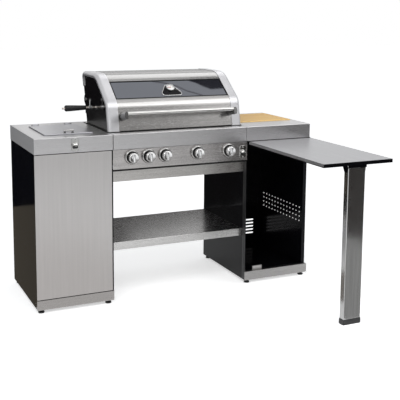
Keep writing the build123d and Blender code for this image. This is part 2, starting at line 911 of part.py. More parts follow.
# Grease tray: a pan that hangs by its flanges on the runners and pulls out at the back
tray_y = (front + tray_setback, front + tray_setback + tray_depth)
tray_top = runner_z + sheet + slide_gap + sheet
with BuildPart() as grease_tray:
    block((-tray_in, tray_in), tray_y, (tray_top - sheet, tray_top))
    block((-tray_width / 2, tray_width / 2), tray_y, (tray_top - tray_height, tray_top))
    block(
        (-tray_width / 2 + sheet, tray_width / 2 - sheet),
        (tray_y[0] + sheet, tray_y[1] - sheet),
        (tray_top - tray_height + sheet, tray_top),
        Mode.SUBTRACT,
    )

# Bay rails: two channels that tie the cabinets together under the grill
with BuildPart() as bay_rails:
    for web_y, inward, drop in ((front + rail_setback, 1, rail_drop), (panel_back, -1, rear_rail_drop)):
        rail_z = (worktop_height - drop - rail_height, worktop_height - drop)
        web = (web_y, web_y + inward * sheet)
        flange = (web_y + inward * sheet, web_y + inward * rail_flange)
        block((-inner_face, inner_face), web, rail_z)
        block((-inner_face, inner_face), flange, (rail_z[0], rail_z[0] + sheet))
        block((-inner_face, inner_face), flange, (rail_z[1] - sheet, rail_z[1]))

# Shelf: a deep-lipped pan between the cabinets
shelf_y = (front + shelf_setback, back - shelf_rear_gap)
with BuildPart() as shelf:
    block((-inner_face, inner_face), shelf_y, (shelf_level - shelf_lip, shelf_level))
    fillet(shelf.edges().filter_by(Axis.X).group_by(Axis.Z)[-1], radius=edge_round)
    block(
        (-inner_face, inner_face),
        (shelf_y[0] + sheet, shelf_y[1] - sheet),
        (shelf_level - shelf_lip, shelf_level - sheet),
        Mode.SUBTRACT,
    )

# Right worktop: a well pressed into the top for the cutting board
board_x = (cabinet_x - board_width / 2, cabinet_x + board_width / 2)
board_y = (front + board_setback, front + board_setback + board_depth)
board_z = (worktop_height + board_proud - board_thickness, worktop_height + board_proud)
well_x = (board_x[0] - board_gap, board_x[1] + board_gap)
well_y = (board_y[0] - board_gap, board_y[1] + board_gap)
with BuildPart() as right_worktop:
    add(
        worktop(
            (top_inner, outer_x),
            (inner_inside + seam_gap, outer_x - sheet),
            (well_x[0] - sheet / 2, well_x[1] + sheet / 2),
            (well_y[0] - sheet / 2, well_y[1] + sheet / 2),
        ).part
    )
    block(
        (well_x[0] - sheet, well_x[1] + sheet),
        (well_y[0] - sheet, well_y[1] + sheet),
        (board_z[0] - slide_gap - well_floor, worktop_height),
    )
    block(well_x, well_y, (board_z[0] - slide_gap, worktop_height), Mode.SUBTRACT)

# Cutting board: glued wooden staves with rounded edges
with BuildPart() as cutting_board:
    block(board_x, board_y, board_z)
    fillet(cutting_board.edges().filter_by(Axis.Z), radius=2 * board_round)
    fillet(cutting_board.faces().sort_by(Axis.Z)[-1].edges(), radius=board_round)

# Door catch: a magnet block on the right cabinet's floor
with BuildPart() as door_catch:
    block(
        (cabinet_x + catch_shift - catch_width / 2, cabinet_x + catch_shift + catch_width / 2),
        (panel_front, panel_front + catch_depth),
        (plinth_top, plinth_top + catch_height),
    )
    fillet(door_catch.edges().filter_by(Axis.Z), radius=edge_round)

# Leaf hinge: a flap under the apron with knuckles along its front edge
leaf_x = (door_inner, door_outer)
leaf_y = (front - leaf_reach, front - leaf_rear_gap)
leaf_z = (apron_z - leaf_drop - leaf_thickness, apron_z - leaf_drop)
hinge_y = front - hinge_radius
hinge_z = apron_z - hinge_radius
knuckle_pitch = (leaf_x[1] - leaf_x[0]) / hinge_knuckles


def knuckle(n):
    """The span along X of one hinge knuckle."""
    start = leaf_x[0] + n * knuckle_pitch
    return (start + slide_gap / 2, start + knuckle_pitch - slide_gap / 2)


fixed_knuckles = [knuckle(n) for n in range(0, hinge_knuckles, 2)]
leaf_knuckles = [knuckle(n) for n in range(1, hinge_knuckles, 2)]
with BuildPart() as leaf_hinge:
    block((leaf_x[0], leaf_x[1]), (front, front + hinge_flap_depth), (apron_z - hinge_flap, apron_z))
    for span in fixed_knuckles:
        block(span, (hinge_y, front), (apron_z - hinge_flap, apron_z))
        rod_x(span, hinge_y, hinge_z, hinge_radius)

# Table leaf: the cabinet's door swung up, a folded steel pan with an inward lip below
with BuildPart() as table_leaf:
    block(leaf_x, leaf_y, leaf_z)
    fillet(table_leaf.edges().filter_by(Axis.Z).group_by(Axis.Y)[0], radius=edge_round)
    block(
        (leaf_x[0] + sheet, leaf_x[1] - sheet),
        (leaf_y[0] + sheet, leaf_y[1] - sheet),
        (leaf_z[0] + sheet, leaf_z[1] - sheet),
        Mode.SUBTRACT,
    )
    block(
        (leaf_x[0] + leaf_lip, leaf_x[1] - leaf_lip),
        (leaf_y[0] + leaf_lip, leaf_y[1] - leaf_lip),
        (leaf_z[0], leaf_z[0] + sheet),
        Mode.SUBTRACT,
    )
    for span in leaf_knuckles:
        block(span, (leaf_y[1] - sheet, hinge_y), (hinge_z - hinge_flap / 2, hinge_z + hinge_flap / 2))
        rod_x(span, hinge_y, hinge_z, hinge_radius)
        rod_x(span, hinge_y, hinge_z, hinge_pin_radius + running_fit, Mode.SUBTRACT)

# Leg bracket: a U of steel under the leaf's skin, with the leg's pin welded across it
leg_y = leaf_y[0] + leg_inset + leg_depth / 2
leg_pin_z = leaf_z[0] - leg_top_gap - leg_pin_drop
skin_under = leaf_z[1] - sheet
bracket_in = leg_width / 2 + bracket_gap
with BuildPart() as leg_bracket:
    block(
        (cabinet_x - bracket_in - bracket_sheet, cabinet_x + bracket_in + bracket_sheet),
        (leg_y - leg_depth / 2, leg_y - leg_depth / 2 + bracket_depth),
        (skin_under - bracket_sheet, skin_under),
    )
    for side in (-1, 1):
        with BuildSketch(Plane.YZ.offset(cabinet_x + side * bracket_in)):
            with BuildLine():
                Polyline(
                    (leg_y - leg_depth / 2, skin_under),
                    (leg_y - leg_depth / 2 + bracket_depth, skin_under),
                    (leg_y + leg_depth / 3, leaf_z[0] - bracket_drop),
                    (leg_y - leg_depth / 3, leaf_z[0] - bracket_drop),
                    close=True,
                )
            make_face()
        extrude(amount=side * bracket_sheet)
    rod_x((cabinet_x - bracket_in, cabinet_x + bracket_in), leg_y, leg_pin_z, leg_pin_radius)

# Table leg: a rectangular stainless tube that folds up under the leaf
leg_top = leaf_z[0] - leg_top_gap
with BuildPart() as table_leg:
    block(
        (cabinet_x - leg_width / 2, cabinet_x + leg_width / 2),
        (leg_y - leg_depth / 2, leg_y + leg_depth / 2),
        (cap_floor, leg_top),
    )
    fillet(table_leg.edges().filter_by(Axis.Z), radius=edge_round)
    block(
        (cabinet_x - leg_width / 2 + leg_wall, cabinet_x + leg_width / 2 - leg_wall),
        (leg_y - leg_depth / 2 + leg_wall, leg_y + leg_depth / 2 - leg_wall),
        (cap_floor, leg_top),
        Mode.SUBTRACT,
    )
    rod_x(
        (cabinet_x - leg_width, cabinet_x + leg_width),
        leg_y,
        leg_pin_z,
        leg_pin_radius + running_fit,
        Mode.SUBTRACT,
    )

# Leg foot: a black moulded cap over the tube's lower end
with BuildPart() as leg_foot:
    block(
        (cabinet_x - leg_width / 2 - cap_border, cabinet_x + leg_width / 2 + cap_border),
        (leg_y - leg_depth / 2 - cap_border, leg_y + leg_depth / 2 + cap_border),
        (0, cap_height),
    )
    fillet(leg_foot.edges().filter_by(Axis.Z), radius=edge_round + cap_border)
    block(
        (cabinet_x - leg_width / 2 - cap_fit, cabinet_x + leg_width / 2 + cap_fit),
        (leg_y - leg_depth / 2 - cap_fit, leg_y + leg_depth / 2 + cap_fit),
        (cap_floor, cap_height),
        Mode.SUBTRACT,
    )


# Hood skins: two bent stainless sheets, below and above the window
def profile_strip(points, radii, x, start, thickness):
    """A sheet that follows the hood's profile, from this depth under its line, between two values of X."""
    with BuildPart() as strip:
        with BuildSketch(Plane.YZ.offset(x[0])):
            with BuildLine(mode=Mode.PRIVATE) as line:
                FilletPolyline(*points, radius=radii)
            with BuildLine():
                if start:
                    offset(line.wire(), amount=start, side=Side.RIGHT, closed=False)
                else:
                    add(line.wire())
                offset(amount=thickness, side=Side.RIGHT)
            make_face()
        extrude(amount=x[1] - x[0])
    return strip


skin_half = hood_half - hood_cap_width - cap_seam
window_end = window_start + window_height
hood_front_skin = profile_strip(
    [profile_foot, profile_bend, on_slope(window_start)],
    [bend_radius],
    (-skin_half, skin_half),
    cap_proud,
    hood_sheet,
)
hood_top_skin = profile_strip(
    [on_slope(window_end), profile_crown, profile_rear, profile_tail],
    [crown_radius, rear_radius],
    (-skin_half, skin_half),
    cap_proud,
    hood_sheet,
)

# Hood end castings: hollow arches with a rounded outer edge and a rim round the black side
cap_points = [profile_foot, profile_bend, profile_crown, profile_rear, profile_tail]
cap_radii = [bend_radius, crown_radius, rear_radius]
cap_x = (hood_half - hood_cap_width, hood_half)
with BuildPart() as right_hood_cap:
    add(profile_strip(cap_points, cap_radii, cap_x, 0, cap_rim).part)
    with BuildLine(Plane.YZ.offset(hood_half), mode=Mode.PRIVATE) as cap_line:
        FilletPolyline(*cap_points, radius=cap_radii)
    outer_edges = [
        e
        for e in right_hood_cap.faces().sort_by(Axis.X)[-1].edges()
        if cap_line.wire().distance_to(e @ 0.5) < sheet / 10
    ]
    fillet(outer_edges, radius=cap_round)
    add(
        profile_strip(cap_points, cap_radii, (cap_x[0], cap_x[1] - cap_wall), cap_wall, cap_rim).part,
        mode=Mode.SUBTRACT,
    )
    block(cap_x, (front, front + hood_setback + hood_lean), (apron_z, base_z), Mode.SUBTRACT)
with BuildPart() as left_hood_cap:
    mirror(right_hood_cap.part, about=Plane.YZ)


# Hood sides: black enamelled plates behind the rims, down to the spit's line, with a hinge lobe at the rear
def hood_side(side):
    with BuildPart() as plate:
        with BuildSketch(Plane.YZ.offset(side * hood_inside)) as outline:
            with BuildLine():
                FilletPolyline(*cap_points, radius=cap_radii)
                Polyline(profile_tail, (rear_edge(base_z), base_z), profile_foot)
            make_face()
            offset(amount=-hood_side_tuck, kind=Kind.INTERSECTION)
            sweep_y = (front, back)
            with Locations(((sweep_y[0] + sweep_y[1]) / 2, spit_z - worktop_height / 2)):
                Rectangle(sweep_y[1] - sweep_y[0], worktop_height, mode=Mode.SUBTRACT)
            with Locations((axis_y, axis_z)):
                Circle(hinge_lobe)
                Circle(hood_pin_radius + running_fit, mode=Mode.SUBTRACT)
            with Locations((spit_y, spit_z)):
                Circle(hood_notch, mode=Mode.SUBTRACT)
        extrude(amount=-side * hood_side_sheet)
    return plate


left_hood_side = hood_side(-1)
right_hood_side = hood_side(1)

# Hood window: a strip of dark glass between the castings, lapped by both skins
window_mid = on_slope(window_start + window_height / 2)
slope_plane = Plane(
    origin=(0, window_mid[0], window_mid[1]),
    x_dir=(1, 0, 0),
    z_dir=(0, -slope_along[1], slope_along[0]),
)
glass_plane = slope_plane.offset(-cap_proud - hood_sheet)
with BuildPart() as hood_window:
    with BuildSketch(glass_plane):
        with Locations((0, (window_lap - window_sill) / 2)):
            Rectangle(2 * skin_half, window_height + window_lap + window_sill)
    extrude(amount=-glass_thickness)

# Hood handle: a polished tube between two dark oval posts on the front skin
handle_mid = (
    profile_foot[0] + handle_rise * math.tan(wall_angle),
    base_z + handle_rise,
)
wall_plane = Plane(
    origin=(0, handle_mid[0], handle_mid[1]),
    x_dir=(1, 0, 0),
    z_dir=(0, -math.cos(wall_angle), math.sin(wall_angle)),
).offset(-cap_proud)
handle_centre = wall_plane.offset(handle_standoff).origin
handle_x = (-handle_half, handle_half)
with BuildPart() as hood_handle:
    rod_x(handle_x, handle_centre.Y, handle_centre.Z, handle_radius)
    rod_x(handle_x, handle_centre.Y, handle_centre.Z, handle_radius - handle_wall, Mode.SUBTRACT)
with BuildPart() as handle_posts:
    for side in (-1, 1):
        post_x = side * (handle_half + post_flat)
        with BuildSketch(wall_plane):
            with Locations((post_x, -post_drop)):
                Ellipse(post_radius + post_foot, post_tall + post_foot)
        extrude(amount=post_foot_height)
        with BuildSketch(wall_plane):
            with Locations((post_x, -post_drop)):
                Ellipse(post_radius, post_tall)
        extrude(amount=handle_standoff + post_radius)
    block(
        (-handle_half, handle_half),
        (handle_centre.Y - 2 * handle_radius, handle_centre.Y + 2 * handle_radius),
        (handle_centre.Z - 2 * handle_radius, handle_centre.Z + 2 * handle_radius),
        Mode.SUBTRACT,
    )

# Gauge: a round dial case on a rounded plate that stands on the glass
gauge_plane = glass_plane.shift_origin(
    glass_plane.from_local_coords((0, gauge_start - window_height / 2, 0))
)
dial_centre = (0, gauge_height - dial_radius - gauge_start / 2)
with BuildPart() as gauge_case:
    with BuildSketch(gauge_plane):
        with BuildLine():
            FilletPolyline(
                (-gauge_bottom / 2, 0),
                (gauge_bottom / 2, 0),
                (gauge_top / 2, gauge_height),
                (-gauge_top / 2, gauge_height),
                radius=gauge_corner,
                close=True,
            )
        make_face()
    extrude(amount=gauge_plate)
    with BuildSketch(gauge_plane.offset(gauge_plate)):
        with Locations(dial_centre):
            Circle(dial_radius)
    extrude(amount=dial_height - gauge_plate)
    with BuildSketch(gauge_plane.offset(dial_height)):
        with Locations(dial_centre):
            Circle(dial_radius - dial_rim)
    extrude(amount=-dial_recess, mode=Mode.SUBTRACT)
    with BuildSketch(gauge_plane.offset(dial_height - dial_recess)):
        with Locations(dial_centre):
            Circle(needle_spindle + running_fit)
    extrude(amount=-needle_depth, mode=Mode.SUBTRACT)

# Gauge needle: a thin hand on a spindle
dial_face = gauge_plane.offset(dial_height - dial_recess + needle_lift)
with BuildPart() as gauge_needle:
    with BuildSketch(dial_face):
        with Locations(dial_centre):
            Circle(needle_hub)
            with Locations((-needle_length / 2, 0)):
                Rectangle(needle_length, needle_width)
    extrude(amount=needle_thickness)
    with BuildSketch(dial_face):
        with Locations(dial_centre):
            Circle(needle_spindle)
    extrude(amount=-needle_depth)

# Spit: a round rod in two bushings, with a tapered handle outside the left side
collar_x = -(hood_half + collar_out)
handle_end = collar_x - collar_length / 2 - spit_handle_gap
spit_handle_x = (handle_end - spit_handle_length, handle_end)
spit_tip = spit_handle_x[0] - spit_tip_out
with BuildPart() as spit_rod:
    rod_x((spit_tip, hood_half + spit_right_end), spit_y, spit_z, spit_radius)
with BuildPart() as spit_handle:
    with BuildSketch(Plane.XZ.offset(-spit_y)):
        with BuildLine():
            Polyline(
                (spit_handle_x[0], spit_z + spit_radius + cap_fit),
                (spit_handle_x[0], spit_z + spit_handle_fat * 0.8),
                (spit_handle_x[0] + spit_handle_fat / 3, spit_z + spit_handle_fat),
                (spit_handle_x[0] + spit_handle_fat * 2, spit_z + spit_handle_fat * 0.95),
                (spit_handle_x[1], spit_z + spit_handle_slim),
                (spit_handle_x[1], spit_z + spit_radius + cap_fit),
                close=True,
            )
        make_face()
    revolve(axis=Axis((0, spit_y, spit_z), (1, 0, 0)))

# Spit fittings: two forks inside and a collar with a thumb screw outside
with BuildPart() as spit_fittings:
    rod_x((collar_x - collar_length / 2, collar_x + collar_length / 2), spit_y, spit_z, collar_radius)
    rod_z(collar_x, spit_y, (spit_z, spit_z + collar_radius + thumb_length), thumb_radius)
    with Locations((collar_x, spit_y, spit_z + collar_radius + thumb_length)):
        Box(2 * thumb_head, thumb_head / 2, 2 * thumb_head)
    for side in (-1, 1):
        hub_x = (side * fork_spread, side * (fork_spread + fork_hub_length))
        prong_x = (hub_x[1], side * (fork_spread - prong_length))
        rod_x(hub_x, spit_y, spit_z, fork_hub)
        for n in range(fork_prongs):
            angle = 2 * math.pi * (n + 0.5) / fork_prongs
            prong_y = spit_y + fork_circle * math.cos(angle)
            prong_z = spit_z + fork_circle * math.sin(angle)
            rod_x(prong_x, prong_y, prong_z, prong_radius)
        with Locations(((hub_x[0] + hub_x[1]) / 2, spit_y, spit_z)):
            Box(fork_hub_length / 2, 2 * fork_circle * 0.75, 2 * fork_circle * 0.75)
    rod_x((spit_tip, hood_half), spit_y, spit_z, spit_radius + cap_fit, Mode.SUBTRACT)

# Spit bushings: flanged rings that sit in the notches of the cheeks
with BuildPart() as spit_bushings:
    for side in (-1, 1):
        ring_x = (side * (cheek_inside - slide_gap), side * (cheek_outside + slide_gap))
        rod_x(ring_x, spit_y, spit_z, bushing_radius)
        rod_x((ring_x[0], ring_x[0] - side * bushing_flange_thickness), spit_y, spit_z, bushing_flange)
        rod_x((ring_x[1], ring_x[1] + side * bushing_flange_thickness), spit_y, spit_z, bushing_flange)
        rod_x((side * firebox_y[0], side * outer_x), spit_y, spit_z, spit_radius + running_fit, Mode.SUBTRACT)

# Hinge pins: the fixed studs that the door, the side burner lid, the table leaf and the hood turn on
with BuildPart() as hinge_pins:
    rod_z(door_pin_x, door_pin_y, (plinth_top, plinth_top + door_pin_length), door_pin_radius)
    rod_z(door_pin_x, door_pin_y, (apron_z - door_pin_length, apron_z), door_pin_radius)
    for hinge_x in lid_hinges_x:
        pin_half = lid_knuckle_length / 2 + slide_gap
        rod_x((hinge_x - pin_half, hinge_x + pin_half), lid_pin_y, lid_pin_z, lid_pin_radius)
    for span in leaf_knuckles:
        rod_x((span[0] - slide_gap, span[1] + slide_gap), hinge_y, hinge_z, hinge_pin_radius)
    for side in (-1, 1):
        head_x = hood_inside + slide_gap
        rod_x((side * cheek_inside, side * head_x), axis_y, axis_z, hood_pin_radius)
        rod_x((side * head_x, side * (head_x + hood_pin_head_height)), axis_y, axis_z, hood_pin_head)

pieces = {
    "left_outer_side": left_outer_side,
    "left_inner_side": left_inner_side,
    "left_back": left_back,
    "left_floor": left_floor,
    "left_plinth": left_plinth,
    "left_door": left_door,
    "left_worktop": left_worktop,
    "side_burner_bowl": side_burner_bowl,
    "side_burner_head": side_burner_head,
    "pan_support": pan_support,
    "side_burner_lid": side_burner_lid,
    "left_bottle_opener": left_bottle_opener,
    "grill_surround": grill_surround,
    "control_panel": control_panel,
    "knob_bezels": knob_bezels,
    "main_knob_1": main_knob_1,
    "main_knob_2": main_knob_2,
    "main_knob_3": main_knob_3,
    "main_knob_4": main_knob_4,
    "side_burner_knob": side_burner_knob,
    "gas_manifold": gas_manifold,
    "firebox": firebox,
    "main_burners": main_burners,
    "flame_tamers": flame_tamers,
    "cooking_grates": cooking_grates,
    "warming_rack": warming_rack,
    "grease_tray": grease_tray,
    "bay_rails": bay_rails,
    "shelf": shelf,
    "right_inner_side": right_inner_side,
    "right_outer_side": right_outer_side,
    "right_back": right_back,
    "right_floor": right_floor,
    "right_plinth": right_plinth,
    "right_worktop": right_worktop,
    "cutting_board": cutting_board,
    "right_bottle_opener": right_bottle_opener,
    "door_catch": door_catch,
    "leaf_hinge": leaf_hinge,
    "table_leaf": table_leaf,
    "leg_bracket": leg_bracket,
    "table_leg": table_leg,
    "leg_foot": leg_foot,
    "hood_front_skin": hood_front_skin,
    "hood_top_skin": hood_top_skin,
    "left_hood_cap": left_hood_cap,
    "right_hood_cap": right_hood_cap,
    "left_hood_side": left_hood_side,
    "right_hood_side": right_hood_side,
    "hood_window": hood_window,
    "hood_handle": hood_handle,
    "handle_posts": handle_posts,
    "gauge_case": gauge_case,
    "gauge_needle": gauge_needle,
    "hinge_pins": hinge_pins,
    "spit_rod": spit_rod,
    "spit_fittings": spit_fittings,
    "spit_handle": spit_handle,
    "spit_bushings": spit_bushings,
    "levelling_feet": levelling_feet,
}
for name, piece in pieces.items():
    piece.part.label = name
    export_step(piece.part, f"parts/{name}.step")

# The joints' axes, for reading
print("pieces", len(pieces))
print("hood axis", axis_y, axis_z, "spit", spit_y, spit_z)
print("door pin", door_pin_x, door_pin_y, "lid pin", lid_pin_y, lid_pin_z)
print("leaf hinge", hinge_y, hinge_z, "leg pin", leg_y, leg_pin_z)
print("knobs", [round(x, 2) for x in main_knobs_x], side_knob_x, knob_z, "front", front)
print("dial", gauge_plane.from_local_coords((dial_centre[0], dial_centre[1], dial_height)), gauge_plane.z_dir)
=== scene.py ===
"""Looks of the barbecue island: every finish, and the small pieces that the frame leaves out."""
import math

import bmesh
import bpy
from mathutils import Matrix, Vector


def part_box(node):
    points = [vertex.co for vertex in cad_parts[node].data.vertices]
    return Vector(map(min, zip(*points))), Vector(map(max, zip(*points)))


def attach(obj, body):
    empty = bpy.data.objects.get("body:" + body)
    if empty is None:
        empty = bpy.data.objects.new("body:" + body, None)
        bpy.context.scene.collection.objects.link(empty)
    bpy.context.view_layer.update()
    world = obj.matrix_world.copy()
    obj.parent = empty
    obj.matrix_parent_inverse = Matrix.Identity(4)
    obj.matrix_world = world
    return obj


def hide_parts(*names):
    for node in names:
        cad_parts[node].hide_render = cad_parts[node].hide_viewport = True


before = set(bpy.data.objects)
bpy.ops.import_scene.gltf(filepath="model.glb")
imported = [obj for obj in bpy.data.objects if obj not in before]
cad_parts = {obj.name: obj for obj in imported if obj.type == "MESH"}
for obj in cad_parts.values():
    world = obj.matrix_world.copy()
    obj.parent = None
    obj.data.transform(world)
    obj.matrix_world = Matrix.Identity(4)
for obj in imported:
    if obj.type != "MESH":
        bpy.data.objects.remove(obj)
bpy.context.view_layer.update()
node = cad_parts

# Camera: a long lens at standing height, to the left of the island's front.
# The picture was cut from a taller frame, so the lens is shifted down a little.
photo_width = 400
focal_px = 804.1
horizon_px = 130.0
sensor_mm = 36.0
camera_place = (-1.702, -3.7835, 1.5097)
yaw = math.radians(24.93)
pitch = math.radians(-8.13)
roll = math.radians(0.44)
forward = Vector((math.sin(yaw) * math.cos(pitch), math.cos(yaw) * math.cos(pitch), math.sin(pitch)))
level = Vector((math.cos(yaw), -math.sin(yaw), 0.0))
upright = level.cross(forward)
right = level * math.cos(roll) + upright * math.sin(roll)
up = upright * math.cos(roll) - level * math.sin(roll)
lens_axes = Matrix((right, up, -forward)).transposed().to_4x4()
camera = bpy.data.objects.new("camera", bpy.data.cameras.new("camera"))
camera.matrix_world = Matrix.Translation(camera_place) @ lens_axes
camera.data.sensor_width = sensor_mm
camera.data.lens = focal_px / photo_width * sensor_mm
camera.data.shift_y = (horizon_px - photo_width / 2) / photo_width
camera.data.clip_end = 200.0
bpy.context.collection.objects.link(camera)
bpy.context.scene.camera = camera
bpy.context.scene.view_settings.view_transform = "Standard"


# Studio: a white sweep of floor and air, lit by three soft boxes.
# Cards off camera give steel, enamel and glass something to mirror, as the flags of a studio do.
# Flags stand round the island, mats lie on the floor, and the other cards hang above and behind it.
def new_finish(name):
    finish = bpy.data.materials.new(name)
    finish.use_nodes = True
    return finish, finish.node_tree, finish.node_tree.nodes["Principled BSDF"]


def reckon(tree, operation, *terms):
    step = tree.nodes.new("ShaderNodeMath")
    step.operation = operation
    for socket, term in zip(step.inputs, terms):
        if isinstance(term, float):
            socket.default_value = term
        else:
            tree.links.new(term, socket)
    return step.outputs[0]


def white_for_lens(tree):
    path = tree.nodes.new("ShaderNodeLightPath")
    seen = path.outputs["Is Camera Ray"]
    for ray in ("Is Glossy Ray", "Is Transmission Ray"):
        seen = reckon(tree, "MAXIMUM", seen, path.outputs[ray])
    return seen


def stage_sheet(name, corners, finish):
    mesh = bpy.data.meshes.new(name)
    mesh.from_pydata(corners, [], [range(len(corners))])
    mesh.materials.append(finish)
    sheet = bpy.data.objects.new(name, mesh)
    bpy.context.collection.objects.link(sheet)
    return sheet


def standing(left, right, low, high):
    return [(*left, low), (*right, low), (*right, high), (*left, high)]


def lying(near_left, far_right, z):
    (x0, y0), (x1, y1) = near_left, far_right
    return [(x0, y0, z), (x1, y0, z), (x1, y1, z), (x0, y1, z)]


air = bpy.data.worlds.new("studio_air")
air.use_nodes = True
bpy.context.scene.world = air
tree = air.node_tree
soft_air = tree.nodes["Background"]
soft_air.inputs["Color"].default_value = (0.96, 0.98, 1.0, 1)
soft_air.inputs["Strength"].default_value = 0.5
white_air = tree.nodes.new("ShaderNodeBackground")
white_air.inputs["Color"].default_value = (1.0, 1.0, 1.0, 1)
white_air.inputs["Strength"].default_value = 1.0
air_mix = tree.nodes.new("ShaderNodeMixShader")
tree.links.new(white_for_lens(tree), air_mix.inputs["Fac"])
tree.links.new(soft_air.outputs[0], air_mix.inputs[1])
tree.links.new(white_air.outputs[0], air_mix.inputs[2])
tree.links.new(air_mix.outputs[0], tree.nodes["World Output"].inputs["Surface"])

floor_half = 30.0
mirrored_glow = 0.36
direct_glow = 0.2
pale_floor, tree, shader = new_finish("pale_floor")
shader.inputs["Base Color"].default_value = (0.93, 0.93, 0.93, 1)
shader.inputs["Roughness"].default_value = 0.9
shader.inputs["Specular IOR Level"].default_value = 0.0
floor_glow = tree.nodes.new("ShaderNodeEmission")
glow = reckon(tree, "MULTIPLY", white_for_lens(tree), mirrored_glow)
path = tree.nodes.new("ShaderNodeLightPath")
glow = reckon(tree, "MULTIPLY_ADD", path.outputs["Is Camera Ray"], direct_glow, glow)
tree.links.new(glow, floor_glow.inputs["Strength"])
floor_sum = tree.nodes.new("ShaderNodeAddShader")
tree.links.new(shader.outputs[0], floor_sum.inputs[0])
tree.links.new(floor_glow.outputs[0], floor_sum.inputs[1])
tree.links.new(floor_sum.outputs[0], tree.nodes["Material Output"].inputs["Surface"])
stage_sheet("floor", lying((-floor_half, -floor_half), (floor_half, floor_half), 0), pale_floor)


def soft_box(name, place, target, size, watts):
    lamp = bpy.data.lights.new(name, "AREA")
    lamp.shape = "RECTANGLE"
    lamp.size, lamp.size_y = size
    lamp.energy = watts
    box = bpy.data.objects.new(name, lamp)
    box.location = place
    box.rotation_euler = (Vector(target) - Vector(place)).to_track_quat("-Z", "Y").to_euler()
    bpy.context.collection.objects.link(box)


soft_box("key_light", (-2.6, -2.6, 3.6), (0, 0.2, 0.6), (2.6, 2.0), watts=56)
soft_box("fill_light", (2.8, -3.4, 3.0), (0.2, 0, 0.6), (2.0, 2.0), watts=18)
soft_box("strip_light", (1.0, -1.9, 3.1), (0.2, 0.2, 1.05), (4.0, 1.6), watts=40)

mat_z = 0.002
ceiling_z = 4.0
rear_line_y, rear_line_slope = 1.746, 0.1539
rear_outline = (
    (-0.6, 0.0), (1.782, 0.0), (1.782, 0.8), (0.75, 0.76),
    (0.3, 0.86), (0.2, 1.06), (-0.2, 1.06), (-0.6, 0.84),
)
overhead_outline = (
    (1.36, 0.945), (1.42, 0.915), (1.51, 0.885), (1.58, 0.85), (1.66, 0.82), (1.8, 0.825), (2.4, 0.83),
    (2.4, 1.15), (1.36, 1.15),
)
beam_half = 0.006
beam_line = ((1.06, 0.915), (1.2, 0.892), (1.3, 0.862), (1.4, 0.814), (1.56, 0.765))
beam_outline = [(x, y + beam_half) for x, y in beam_line]
beam_outline += [(x, y - beam_half) for x, y in reversed(beam_line)]


def grey_card(name, corners, shade):
    paper, tree, _ = new_finish(name)
    sheen = tree.nodes.new("ShaderNodeEmission")
    sheen.inputs["Color"].default_value = (*shade, 1)
    tree.links.new(sheen.outputs[0], tree.nodes["Material Output"].inputs["Surface"])
    card = stage_sheet(name, corners, paper)
    card.visible_camera = False
    card.visible_diffuse = False
    card.visible_shadow = False
    card.visible_transmission = False


def on_rear_line(outline):
    return [(x, rear_line_y - rear_line_slope * x, z) for x, z in outline]


def hung(outline):
    return [(x, y, ceiling_z) for x, y in outline]


grey_card("left_flag", standing((-2.45, 2.45), (-0.45, 2.45), 0.0, 1.45), (0.008, 0.008, 0.011))
grey_card("right_flag", standing((1.284, -2.065), (1.736, -1.735), 0.0, 1.2), (0.062, 0.057, 0.054))
grey_card("rear_flag", on_rear_line(rear_outline), (0.05, 0.048, 0.048))
grey_card("far_flag", standing((2.25, -4.7), (5.2, -3.7), 0.0, 1.8), (0.06, 0.058, 0.062))
grey_card("front_wall", standing((-7.48, -7.57), (8.48, -6.43), 0.5, 3.3), (0.42, 0.41, 0.405))
grey_card("left_mat", lying((-2.7, 0.2), (-0.8, 2.45), mat_z), (0.16, 0.14, 0.11))
grey_card("leg_mat", lying((0.6, -1.9), (1.7, -0.7), mat_z), (0.42, 0.42, 0.415))
grey_card("front_mat", lying((-0.12, -0.5), (0.36, 0.05), mat_z), (0.3, 0.28, 0.26))
grey_card("far_mat", lying((2.75, -4.2), (4.9, -2.2), mat_z), (0.1, 0.098, 0.105))
grey_card("door_mat", lying((-1.1, -1.3), (-0.13, 0.06), mat_z), (0.93, 0.91, 0.9))
grey_card("overhead_card", hung(overhead_outline), (0.03, 0.025, 0.022))
grey_card("beam_card", hung(beam_outline), (0.4, 0.38, 0.38))
grey_card("crown_card", lying((0.4, 1.16), (2.5, 3.6), ceiling_z), (2.7, 2.7, 2.7))
grey_card("bend_card", lying((-0.6, -1.4), (3.0, 0.2), ceiling_z), (1.38, 1.38, 1.38))
grey_card("ridge_card", standing((-0.3, 1.75), (1.6, 1.75), 1.2, 1.36), (0.42, 0.42, 0.42))

# Levelling feet: black moulded discs on studs, screwed up under each cabinet.
# The moulding has the fine grain of a spark-eroded tool.
noise_low, noise_high = 0.3, 0.7


def stretched_noise(tree, scale, detail, stretch=(1, 1, 1)):
    where = tree.nodes.new("ShaderNodeTexCoord")
    squeeze = tree.nodes.new("ShaderNodeMapping")
    squeeze.inputs["Scale"].default_value = stretch
    tree.links.new(where.outputs["Object"], squeeze.inputs["Vector"])
    grain = tree.nodes.new("ShaderNodeTexNoise")
    grain.inputs["Scale"].default_value = scale
    grain.inputs["Detail"].default_value = detail
    tree.links.new(squeeze.outputs[0], grain.inputs["Vector"])
    return grain.outputs["Fac"]


def spread(tree, source, low, high, start=noise_low, end=noise_high):
    scale = tree.nodes.new("ShaderNodeMapRange")
    scale.inputs["From Min"].default_value = start
    scale.inputs["From Max"].default_value = end
    scale.inputs["To Min"].default_value = low
    scale.inputs["To Max"].default_value = high
    tree.links.new(source, scale.inputs["Value"])
    return scale.outputs[0]


